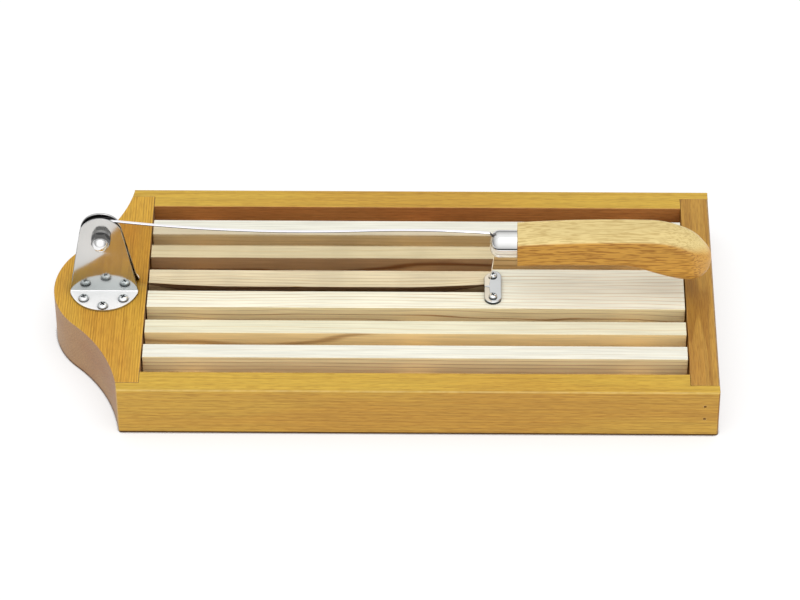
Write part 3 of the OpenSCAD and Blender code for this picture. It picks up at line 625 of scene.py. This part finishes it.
def folded(tree, shader, place, colour, gloss):
    """A folded plate: satin where it lies flat, painted shade above the fold, dull on its sheared rims
    with a painted shadow low down, and painted black in the gap.
    """
    at, faces = axes_of(tree, place["Object"]), axes_of(tree, place["Normal"])
    below = ranged(tree, at["Z"], FLANGE_TOP, FLANGE_TOP + 0.5 * MM, 1.0, 0.0)
    flat = sum_of(tree, "MULTIPLY", facing_up(tree, place), below)
    across = ranged(tree, sum_of(tree, "ABSOLUTE", faces["Y"]), 0.3, 0.7)
    rim = sum_of(tree, "SUBTRACT", 1.0, sum_of(tree, "MAXIMUM", across, flat))
    # painted shade, bluish, on the plate just above the fold
    foot = ranged(tree, at["Z"], FLANGE_TOP, FLANGE_TOP + BLUISH_H, 1.0, 0.0)
    colour = tinted(tree, foot, colour, BLUISH)
    # sheared rims, painted black as a shadow on the flange's low rim
    colour = mixed(tree, rim, colour, mixed(tree, below, SHEARED, LOW_RIM_SHADOW))
    colour = mixed(tree, flat, colour, SATIN)
    feed(tree, shader.inputs["Metallic"], ranged(tree, flat, 0.0, 1.0, 0.97, 0.3))
    # painted shade: the faces inside the gap for the blade are made black
    inward = sum_of(tree, "MULTIPLY", at["Y"], faces["Y"])
    deep = ranged(tree, inward, -0.8 * GAP_HALF, -0.7 * GAP_HALF, 1.0, 0.0)
    duller = sum_of(tree, "MULTIPLY", sum_of(tree, "MAXIMUM", flat, rim), 0.2)
    return mixed(tree, deep, colour, BLACK), sum_of(tree, "ADD", gloss, duller)


def dark_flats(tree, shader, place, colour, gloss):
    """A cap nut: a bright dome on a hexagon painted dark with shade."""
    at = axes_of(tree, place["Object"])
    flats = ranged(tree, at["Y"], HEX_FRONT - 0.2 * MM, HEX_FRONT + 0.2 * MM)
    return tinted(tree, flats, colour, HEX_SHADE), gloss


def dark_flanks(tree, shader, place, colour, gloss):
    """A round head or a thick plate: bright on top, painted dark with shade down its steep side."""
    steep = ranged(tree, axes_of(tree, place["Normal"])["Z"], 0.1, 0.6, 1.0, 0.0)
    return tinted(tree, steep, colour, FLANK_SHADE), gloss


def pale_sides(tree, shader, place, colour, gloss):
    """A ferrule: a painted dark line under the front of its white top, and sides painted pale with light.
    """
    faces = axes_of(tree, place["Normal"])
    side = ranged(tree, faces["Z"], 0.1, 0.3, 1.0, 0.0)
    cap = mixed(tree, 1.0, colour, (*CAP_SHADE, 1), "MULTIPLY")
    colour = mixed(tree, side, cap, PALE_SIDE)
    front = ranged(tree, faces["Y"], -0.9, -0.6, 1.0, 0.0)
    line = sum_of(tree, "MULTIPLY", band(tree, faces["Z"], (0.20, 0.26), (0.30, 0.36)), front)
    feed(tree, shader.inputs["Metallic"], ranged(tree, side, 0.0, 1.0, 1.0, 0.6))
    return mixed(tree, line, colour, BLACK), gloss


def bright_back(tree, shader, place, colour, gloss):
    """A blade: its back, which looks up, is painted bright as a highlight, with a painted dark line below.
    """
    line = band(tree, axes_of(tree, place["Normal"])["Z"], (0.1, 0.3), (0.6, 0.8))
    colour = mixed(tree, facing_up(tree, place), colour, SPINE)
    return mixed(tree, line, colour, SPINE_LINE), gloss


print("adjusters ready, gap between the plates", round(2 * GAP_HALF / MM, 1), "mm")

# %% [markdown]
# Each steel finish has a tint, the roughness of its clean and of its hazy patches, the stretch of
# its polishing lines, and how deep they are.

# %% Steel finishes
ALONG_BLADE, EVEN, SATIN_LINES, RUST = (20, 400, 700), (120, 120, 120), (500, 500, 500), (600, 600, 600)
NICKEL = (0.80, 0.80, 0.79)
blade_finish = steel("polished_blade", (0.82, 0.73, 0.60), 0.02, 0.07, ALONG_BLADE, 0.02, bright_back)
plate_finish = steel("nickel_plate", NICKEL, 0.03, 0.07, EVEN, 0.03)
ferrule_finish = steel("nickel_ferrule", NICKEL, 0.03, 0.07, EVEN, 0.03, pale_sides)
washer_finish = steel("dull_washer", (0.30, 0.30, 0.30), 0.10, 0.20, EVEN, 0.03)
bracket_finish = steel("nickel_bracket", (0.66, 0.65, 0.63), 0.07, 0.13, EVEN, 0.03, folded)
stop_finish = steel("nickel_stop", (0.70, 0.71, 0.71), 0.03, 0.07, EVEN, 0.03, dark_flanks)
nut_finish = steel("nickel_cap_nut", (0.90, 0.90, 0.90), 0.05, 0.14, EVEN, 0.03, dark_flats)
screw_finish = steel("zinc_screw", (0.84, 0.86, 0.87), 0.12, 0.25, SATIN_LINES, 0.08, dark_flanks)
nail_finish = steel("nail_iron", (0.30, 0.16, 0.05), 0.45, 0.7, RUST, 0.2)
print("finishes in all:", len(bpy.data.materials))

# %% [markdown]
# ## The table's finish
#
# The light table is pale and glows. Right under the part it is dark and brown, in a line of a few
# millimetres. A shadow lamp could make that line, but the Ambient Occlusion node finds it wherever
# the part stands close to the table, from every side.

# %% The floor's finish
CONTACT, CONTACT_GLOW = (0.12, 0.06, 0.02, 1), (0.02, 0.01, 0.0, 1)
TABLE_LOW, TABLE_HIGH, GLOW = (0.40, 0.40, 0.40, 1), (0.42, 0.42, 0.42, 1), (1, 1, 1, 1)
floor_finish, tree, shader, place = surface("light_table")
near = add(tree, "ShaderNodeAmbientOcclusion", {"samples": 8}, Distance=3 * MM).outputs["AO"]
clear = ranged(tree, near, 0.45, 0.70)
cloud = noise(tree, place["Object"], detail=2.0, scale=1.5)
table = mixed(tree, cloud, TABLE_LOW, TABLE_HIGH)
feed(tree, shader.inputs["Base Color"], mixed(tree, clear, CONTACT, table))
feed(tree, shader.inputs["Emission Color"], mixed(tree, clear, CONTACT_GLOW, GLOW))
shader.inputs["Roughness"].default_value = 0.8
shader.inputs["Emission Strength"].default_value = 0.58
floor.data.materials.append(floor_finish)
print("floor finish:", floor_finish.name)

# %% [markdown]
# ## Tools for modelling by hand
#
# Edit mode works on what is selected, and the frame arrives selected, so every step starts by
# letting go of everything. Parts of a mesh are then picked by where they lie or which way they
# face, as one would click on them.

# %% Modelling helpers


def let_go():
    """Object mode, nothing selected."""
    if bpy.context.object and bpy.context.object.mode != "OBJECT":
        bpy.ops.object.mode_set(mode="OBJECT")
    bpy.ops.object.select_all(action="DESELECT")


def hold(piece):
    """Only this piece selected and active, in Object mode."""
    let_go()
    piece.select_set(True)
    bpy.context.view_layer.objects.active = piece


def edit(piece):
    """Only this piece selected and active, in Edit mode."""
    hold(piece)
    bpy.ops.object.mode_set(mode="EDIT")


def pick(piece, kind, test):
    """In Edit mode, selects the FACEs, EDGEs or VERTs that pass a test, and says how many."""
    bpy.ops.mesh.select_mode(type=kind)
    bpy.ops.mesh.select_all(action="DESELECT")
    mesh = bmesh.from_edit_mesh(piece.data)
    parts = {"FACE": mesh.faces, "EDGE": mesh.edges, "VERT": mesh.verts}[kind]
    chosen = [part for part in parts if test(part)]
    for part in chosen:
        part.select_set(True)
    mesh.select_flush_mode()
    bmesh.update_edit_mesh(piece.data)
    return len(chosen)


def middle(edge):
    """The point halfway along an edge."""
    return (edge.verts[0].co + edge.verts[1].co) / 2


SHARP_ANGLE, HOLE_EDGE = math.radians(48), 0.9 * MM


def is_sharp(edge, least=HOLE_EDGE):
    """An edge between faces that meet at a clear angle, and not a short one round a hole."""
    if len(edge.link_faces) != 2:
        return False
    return edge.calc_face_angle() > SHARP_ANGLE and edge.calc_length() > least


def soften(piece, width, steps=2, test=is_sharp):
    """Bevels the edges that pass a test."""
    edit(piece)
    count = pick(piece, "EDGE", test)
    if count:
        bpy.ops.mesh.bevel(offset=width, segments=steps, affect="EDGES", clamp_overlap=False)
    let_go()
    return count


def block(name, low, high):
    """A cube between two corners, with its place in its mesh."""
    let_go()
    bpy.ops.mesh.primitive_cube_add(size=1, location=(low + high) / 2, scale=high - low)
    piece = bpy.context.object
    piece.name = name
    bpy.ops.object.transform_apply(location=True, rotation=True, scale=True)
    return piece


MERGE_GAP, FLAT_ANGLE = 0.002 * MM, math.radians(0.4)


def copy_of(node, name):
    """A copy of a frame node's mesh with its loose triangles merged and its flat faces made whole."""
    piece = bpy.data.objects.new(name, nodes[node].data.copy())
    bpy.context.scene.collection.objects.link(piece)
    piece.data.materials.clear()
    hold(piece)
    bpy.ops.mesh.customdata_custom_splitnormals_clear()
    edit(piece)
    bpy.ops.mesh.select_all(action="SELECT")
    bpy.ops.mesh.remove_doubles(threshold=MERGE_GAP)
    bpy.ops.mesh.dissolve_limited(angle_limit=FLAT_ANGLE)
    let_go()
    return piece


def dress(piece, node, finish, smooth=35):
    """Gives a finished piece its shading, finish and body, and hides the frame node it stands for."""
    hold(piece)
    bpy.ops.object.shade_smooth_by_angle(angle=math.radians(smooth))
    level = piece.modifiers.new("flat faces stay flat", "WEIGHTED_NORMAL")
    level.keep_sharp = True
    bpy.ops.object.modifier_apply(modifier=level.name)
    piece.data.materials.clear()
    piece.data.materials.append(finish)
    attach(piece, nodes[node]["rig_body"])
    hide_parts(node)
    print(piece.name, "stands for", node, "with", len(piece.data.polygons), "faces")
    return piece


print("modelling helpers ready")

# %% [markdown]
# ## The tray's boards
#
# The boards of the tray have long straight edges that were sanded by hand. Their solids are
# already right, down to the sawn curve of the tab, so each is copied and only its edges are
# broken. The rails' outer corners at the right are rounded more. The small bevels on both sides of
# a joint make the fine dark line that one sees there.

# %% Rails and end boards
BOARD_EDGE, END_ROUND = 0.7 * MM, 2 * MM
boards = {
    "front_rail": rail_finish,
    "rear_rail": rail_finish,
    "left_end_board": left_board_finish,
    "right_end_board": right_board_finish,
}
for node, finish in boards.items():
    board = copy_of(node, node + "_board")
    far = max(abs(side.y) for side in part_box(node)) - 0.1 * MM
    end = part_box(node)[1].x - 0.1 * MM
    if node.endswith("rail"):
        soften(board, END_ROUND, 5,
               lambda edge: all(abs(v.co.y) > far and v.co.x > end for v in edge.verts))
    print("edges broken:", soften(board, BOARD_EDGE))
    dress(board, node, finish)

# %% [markdown]
# ## The slats
#
# Four of the slats are plain sticks: a cube at the stick's size with all its edges broken.

# %% Plain slats
SLAT_EDGE = 0.5 * MM
for node in ("front_inner_slat", "front_outer_slat", "rear_inner_slat", "rear_outer_slat"):
    stick = block(node + "_stick", *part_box(node))
    soften(stick, SLAT_EDGE)
    dress(stick, node, slat_finishes[node])

# %% [markdown]
# The wide slat has the blade's slot. It could be cut with a Boolean, but sawing it as a joiner
# would gives cleaner faces: only the stretch beyond the slot is a full block, and its left end,
# without the slot, is then drawn out to the left.

# %% Slotted slat


def beside_slot(face):
    """A face of the left end that isn't the slot's."""
    spot = face.calc_center_median()
    return face.normal.x < -0.9 and not (abs(spot.y) < SLOT_HALF and spot.z > SLOT_FLOOR)


cuts = (
    ((0, -SLOT_HALF, 0), (0, 1, 0)),
    ((0, SLOT_HALF, 0), (0, 1, 0)),
    ((0, 0, SLOT_FLOOR), (0, 0, 1)),
)
low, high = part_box("cutting_slat")
slat = block("cutting_slat_board", Vector((SLOT_END, low.y, low.z)), high)
edit(slat)
for point, across in cuts:
    bpy.ops.mesh.select_all(action="SELECT")
    bpy.ops.mesh.bisect(plane_co=point, plane_no=across)
drawn = pick(slat, "FACE", beside_slot)
bpy.ops.mesh.extrude_region_move(TRANSFORM_OT_translate={"value": (low.x - SLOT_END, 0, 0)})
bpy.ops.mesh.select_all(action="SELECT")
bpy.ops.mesh.dissolve_limited(angle_limit=math.radians(1))
print("faces drawn out round the slot:", drawn, "edges broken:", soften(slat, SLAT_EDGE))
dress(slat, "cutting_slat", slat_finishes["cutting_slat"])

# %% [markdown]
# ## Brackets and stop plate
#
# Each bracket is a pressed plate, folded at its foot into a flange. It is copied from the frame and
# gets what pressing and screwing down do to it: the bolt pulls the tops together, so below the
# washer the plates lean out to a sharp fold. A Simple Deform modifier could bend the whole plate,
# but it would move the screw holes too, so each corner is moved by a short rule. Pressed steel also
# has fine rounded edges that catch a line of light, widest round the top.

# %% Leaning plates
PLATE_T, FOLD_R, SHARP_R, LEAN = 1.8 * MM, 2.4 * MM, 0.8 * MM, 2.6 * MM
BEND_Y = GAP_HALF + PLATE_T + FOLD_R
BEND_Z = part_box("front_bracket")[0].z + PLATE_T + FOLD_R
LEAN_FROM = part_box("pivot_washer")[0].z - 2 * MM
SCREW_EDGE = 12.4 * MM
NEAR = 0.01 * MM


def leaning(spot):
    """Where a point of the frame's bracket lies when its plate leans out to a sharper fold."""
    out, height = abs(spot.y), spot.z
    tighter = FOLD_R - SHARP_R
    if height > BEND_Z + NEAR:
        out += LEAN * max(LEAN_FROM - height, 0) / (LEAN_FROM - BEND_Z)
    elif out < BEND_Y:
        arm = Vector((out - BEND_Y, height - BEND_Z))
        arm -= tighter * arm.normalized()
        out, height = BEND_Y + LEAN - tighter + arm.x, BEND_Z - tighter + arm.y
    elif out < SCREW_EDGE:
        out += (LEAN - tighter) * (SCREW_EDGE - out) / (SCREW_EDGE - BEND_Y)
    return Vector((spot.x, math.copysign(out, spot.y), height))


def starts_lean(edge):
    """A long edge at the height where the plate begins to lean."""
    level = all(abs(v.co.z - LEAN_FROM) < NEAR for v in edge.verts)
    return level and edge.calc_length() > 2 * PLATE_T


print("plates lean below", round(LEAN_FROM / MM, 1), "mm by", round(LEAN / MM, 1), "mm")

# %% [markdown]
# Each plate is cut at the height where it starts to lean, and its corners are moved. The cut is
# rounded with a wide bevel, so that the mirror bends there without a kink.

# %% Pressed plates
pivot = Vector(frame["joints"][0]["pos_m"])
LEAN_ROUND, TOP_ROUND, PLATE_EDGE = 4 * MM, 1.1 * MM, 0.3 * MM


def round_top(edge):
    """A sharp edge in the gap above the pivot."""
    return is_sharp(edge, 0) and all(
        abs(v.co.y) < GAP_HALF + 0.1 * MM and v.co.z > pivot.z for v in edge.verts)


for node in ("front_bracket", "rear_bracket"):
    plate = copy_of(node, node + "_plate")
    edit(plate)
    bpy.ops.mesh.select_all(action="SELECT")
    bpy.ops.mesh.bisect(plane_co=(0, 0, LEAN_FROM), plane_no=(0, 0, 1))
    let_go()
    for point in plate.data.vertices:
        point.co = leaning(point.co)
    soften(plate, LEAN_ROUND, 6, starts_lean)
    soften(plate, TOP_ROUND, 4, round_top)
    print("edges broken:", soften(plate, PLATE_EDGE))
    dress(plate, node, bracket_finish)

# %% [markdown]
# The stop plate is an oblong bar with round ends that lies across the slot. A bar could be drawn
# anew, but the solid is right but for its upper outline, which is rounded here.

# %% Stop plate
STOP_ROUND = 0.7 * MM


def on_stop_top(edge):
    """A sharp edge on top of the stop plate."""
    return is_sharp(edge, 0) and min(v.co.z for v in edge.verts) > stop_high.z - 0.1 * MM


stop = copy_of("stop_plate", "stop_plate_bar")
soften(stop, STOP_ROUND, 4, on_stop_top)
dress(stop, "stop_plate", stop_finish)

# %% [markdown]
# ## Blade and ferrule
#
# The blade is ground from one plate, and its cutting edge stays keen: only its spine and its heel
# are eased. The ferrule is a drawn cap, so all its edges are a little round.

# %% Blade and ferrule
SPINE_ROUND, FERRULE_ROUND = 0.6 * MM, 0.3 * MM
heel_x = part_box("ferrule")[0].x


def on_back(edge):
    """A sharp edge of the spine or of the heel."""
    spot = middle(edge)
    spine = spot.z > pivot.z + 2 * MM
    heel = spot.x > heel_x - 0.5 * MM and spot.z > stop_high.z + 3 * MM
    return is_sharp(edge, 0) and (spine or heel)


blade = copy_of("blade", "blade_ground")
print("edges eased on the blade:", soften(blade, SPINE_ROUND, 2, on_back))
dress(blade, "blade", blade_finish, smooth=20)

ferrule = copy_of("ferrule", "ferrule_cap")
soften(ferrule, FERRULE_ROUND, 2, lambda edge: is_sharp(edge, 0))
dress(ferrule, "ferrule", ferrule_finish)

# %% [markdown]
# ## The handle
#
# The handle is lofted: a rectangle with round corners is drawn at many stations between the ferrule
# and the butt, and the loops are then bridged. Its top is slightly crowned, its underside arches up
# for the fingers and falls to a hook, and both close in a quarter ellipse at the end, where the
# edges also grow rounder. Short formulas say how large each loop is, in millimetres.

# %% Handle curves
GRIP_L, GRIP_W = 130.6, 25.0
CROWN_TOP, CROWN_AT, CROWN_R = 12.6, 70.0, 817.0
ARCH_DEEP, ARCH_AT, ARCH_R = 9.5, 38.0, 600.0
BUTT_L, BUTT_DROP, PLAN_L = 42.6, 11.0, 17.0
HOOK_DEEP, HOOK_L, HOOK_BACK = 15.2, 53.0, 9.0
EDGE_R, BUTT_EDGE_R, MOST_ROUND = 2.6, 9.0, 0.96


def ease(share):
    """A smooth step from zero to one."""
    share = min(max(share, 0), 1)
    return share * share * (3 - 2 * share)


def quarter(share):
    """A quarter of a circle, from one down to zero."""
    return math.sqrt(1 - min(max(share, 0), 1) ** 2)


def crown(x):
    """Height of the top above the handle's axis."""
    at = min(x, GRIP_L - BUTT_L)
    top = CROWN_TOP - (at - CROWN_AT) ** 2 / (2 * CROWN_R)
    return -BUTT_DROP + (top + BUTT_DROP) * quarter((x - GRIP_L + BUTT_L) / BUTT_L)


def belly(x):
    """Height of the underside, which is below the axis and so negative."""
    arch = -ARCH_DEEP - (min(x, ARCH_AT) - ARCH_AT) ** 2 / (2 * ARCH_R)
    hook = arch - HOOK_DEEP * ease((x - GRIP_L + HOOK_BACK + HOOK_L) / HOOK_L)
    return -BUTT_DROP + (hook + BUTT_DROP) * quarter((x - GRIP_L + HOOK_BACK) / HOOK_BACK)


def width(x):
    """Width of the handle."""
    return GRIP_W * quarter((x - GRIP_L + PLAN_L) / PLAN_L)


def corner(x):
    """Rounding of the edges, which never takes the whole width or height."""
    grown = EDGE_R + (BUTT_EDGE_R - EDGE_R) * ease((x - GRIP_L + BUTT_L) / BUTT_L)
    return min(grown, MOST_ROUND * min(crown(x) - belly(x), width(x)) / 2)


STRAIGHT, ROUND, LAST_TURN, CORNER_STEPS = 26, 30, 89, 8
stations = [(GRIP_L - BUTT_L) * i / STRAIGHT for i in range(STRAIGHT)]
turns = [math.radians(LAST_TURN * i / ROUND) for i in range(ROUND + 1)]
stations += [GRIP_L - BUTT_L + BUTT_L * math.sin(turn) for turn in turns]
print("handle loops:", len(stations), "deepest hook", round(min(belly(x) for x in stations), 1), "mm")

# %% [markdown]
# Each loop starts as a small plane that stands across the handle. It is stretched to the size of
# its station, and its four corners are bevelled. Bridging the loops makes the skin, and a face at
# either end closes it.

# %% Handle
grip_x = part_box("handle")[0].x
axis_z = (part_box("ferrule")[0].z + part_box("ferrule")[1].z) / 2
let_go()
bpy.ops.object.add(type="MESH")
grip = bpy.context.object
grip.name = "handle_grip"
edit(grip)
for x in stations:
    centre = (grip_x + x * MM, 0, axis_z + (crown(x) + belly(x)) / 2 * MM)
    bpy.ops.mesh.select_all(action="DESELECT")
    bpy.ops.mesh.primitive_plane_add(size=MM, location=centre, rotation=(0, math.radians(90), 0))
    bpy.ops.transform.resize(value=(1, width(x), crown(x) - belly(x)), center_override=centre)
    bpy.ops.mesh.bevel(offset=corner(x) * MM, segments=CORNER_STEPS, affect="VERTICES")
bpy.ops.mesh.select_all(action="SELECT")
bpy.ops.mesh.delete(type="ONLY_FACE")
bpy.ops.mesh.select_all(action="SELECT")
bpy.ops.mesh.bridge_edge_loops()
for end in (stations[0], stations[-1]):
    end_x = grip_x + end * MM
    rim = pick(grip, "EDGE", lambda edge: edge.is_boundary and abs(middle(edge).x - end_x) < 0.1 * MM)
    bpy.ops.mesh.edge_face_add()
    print("edges round an end:", rim)
bpy.ops.mesh.select_all(action="SELECT")
bpy.ops.mesh.normals_make_consistent(inside=False)
let_go()
dress(grip, "handle", handle_finish, smooth=40)

# %% [markdown]
# ## Screws
#
# The round-head screws are all alike but for their size: a short cylinder whose upper rim is
# bevelled into a dome, a shank drawn out of its underside, and a cross-shaped recess cut with a
# Boolean. One is made for each size and then copied to its places, each copy turned differently,
# as screws stop where they bite.

# %% One screw
HEAD_SIDES, DOME, RECESS_L, RECESS_W, RECESS_H = 40, 0.88, 0.52, 0.14, 0.55


def round_screw(name, head_r, head_h, shank_r, shank_l):
    """A screw with the underside of its head at the origin."""
    let_go()
    bpy.ops.mesh.primitive_cylinder_add(vertices=HEAD_SIDES, radius=head_r, depth=head_h,
                                        location=(0, 0, head_h / 2))
    screw = bpy.context.object
    screw.name = name
    bpy.ops.object.transform_apply(location=True, rotation=True, scale=True)
    edit(screw)
    pick(screw, "EDGE", lambda edge: min(v.co.z for v in edge.verts) > 0.99 * head_h)
    bpy.ops.mesh.bevel(offset=DOME * head_h, segments=8, affect="EDGES")
    pick(screw, "FACE", lambda face: face.normal.z < -0.9)
    bpy.ops.mesh.inset(thickness=head_r - shank_r)
    bpy.ops.mesh.extrude_region_move(TRANSFORM_OT_translate={"value": (0, 0, 2 * shank_r - shank_l)})
    bpy.ops.mesh.extrude_region_move(TRANSFORM_OT_translate={"value": (0, 0, -2 * shank_r)})
    bpy.ops.mesh.merge(type="CENTER")
    half_l, half_w, floor_z = RECESS_L * head_r, RECESS_W * head_r, (1 - RECESS_H) * head_h
    for x, y in ((half_l, half_w), (half_w, half_l)):
        bit = block("driver_bit", Vector((-x, -y, floor_z)), Vector((x, y, 2 * head_h)))
        hold(screw)
        cut = screw.modifiers.new("recess", "BOOLEAN")
        cut.operation, cut.solver, cut.object = "DIFFERENCE", "EXACT", bit
        bpy.ops.object.modifier_apply(modifier=cut.name)
        bpy.data.objects.remove(bit)
    return screw


def set_screws(name, pattern, places, node):
    """Copies a screw to its places and joins the copies into one piece."""
    copies = []
    for place, turn in places:
        copy = bpy.data.objects.new(name, pattern.data.copy())
        bpy.context.scene.collection.objects.link(copy)
        copy.data.transform(Matrix.Translation(place) @ Matrix.Rotation(math.radians(turn), 4, "Z"))
        copies.append(copy)
    let_go()
    for copy in copies:
        copy.select_set(True)
    bpy.context.view_layer.objects.active = copies[0]
    bpy.ops.object.join()
    return dress(bpy.context.object, node, screw_finish)


print("screw helpers ready")

# %% [markdown]
# Three screws hold each bracket: two beside the fold and one at the tip of the flange. Two smaller
# ones hold the stop plate. The frame's boxes round its screws say where they sit, so the copies
# are placed by them.

# %% Screws in their places
HEAD_R, HEAD_H, SHANK_R, SHANK_L = 3.7 * MM, 2.6 * MM, 1.8 * MM, 18 * MM
pattern = round_screw("bracket_screw", HEAD_R, HEAD_H, SHANK_R, SHANK_L)
bracket_turns = {"front_bracket_screws": (20, 65, 38), "rear_bracket_screws": (50, 10, 80)}
for node, turns in bracket_turns.items():
    low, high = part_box(node)
    seat = high.z - HEAD_H
    inner, outer = sorted((low.y + HEAD_R, high.y - HEAD_R), key=abs)
    spots = [Vector((low.x + HEAD_R, inner, seat)), Vector((high.x - HEAD_R, inner, seat)),
             Vector(((low.x + high.x) / 2, outer, seat))]
    set_screws(node + "_set", pattern, list(zip(spots, turns)), node)
bpy.data.objects.remove(pattern)

STOP_HEAD_R, STOP_HEAD_H, STOP_SHANK_R, STOP_SHANK_L = 3.0 * MM, 2.2 * MM, 1.4 * MM, 14 * MM
STOP_TURNS = 30, 75
pattern = round_screw("stop_screw", STOP_HEAD_R, STOP_HEAD_H, STOP_SHANK_R, STOP_SHANK_L)
low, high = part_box("stop_plate_screws")
spots = [Vector((SLOT_END, y, high.z - STOP_HEAD_H)) for y in (low.y + STOP_HEAD_R, high.y - STOP_HEAD_R)]
set_screws("stop_plate_screws_set", pattern, list(zip(spots, STOP_TURNS)), "stop_plate_screws")
bpy.data.objects.remove(pattern)

# %% [markdown]
# ## What stays as it is
#
# The bearers, the bottom, the nails, the screws under the slats, the bolt, the washer and the cap
# nut have their final shape in the frame. They only need their finish.

# %% Finishes for the frame's own nodes
kept = {
    "bottom_panel": panel_finish,
    "left_bearer": bearer_finish,
    "middle_bearer": bearer_finish,
    "right_bearer": bearer_finish,
    "pivot_bolt": plate_finish,
    "pivot_washer": washer_finish,
    "cap_nut": nut_finish,
    "corner_nails": nail_finish,
    "panel_nails": screw_finish,
    "slat_screws": screw_finish,
}
for node, finish in kept.items():
    nodes[node].data.materials.clear()
    nodes[node].data.materials.append(finish)
print("finished nodes:", len(kept))
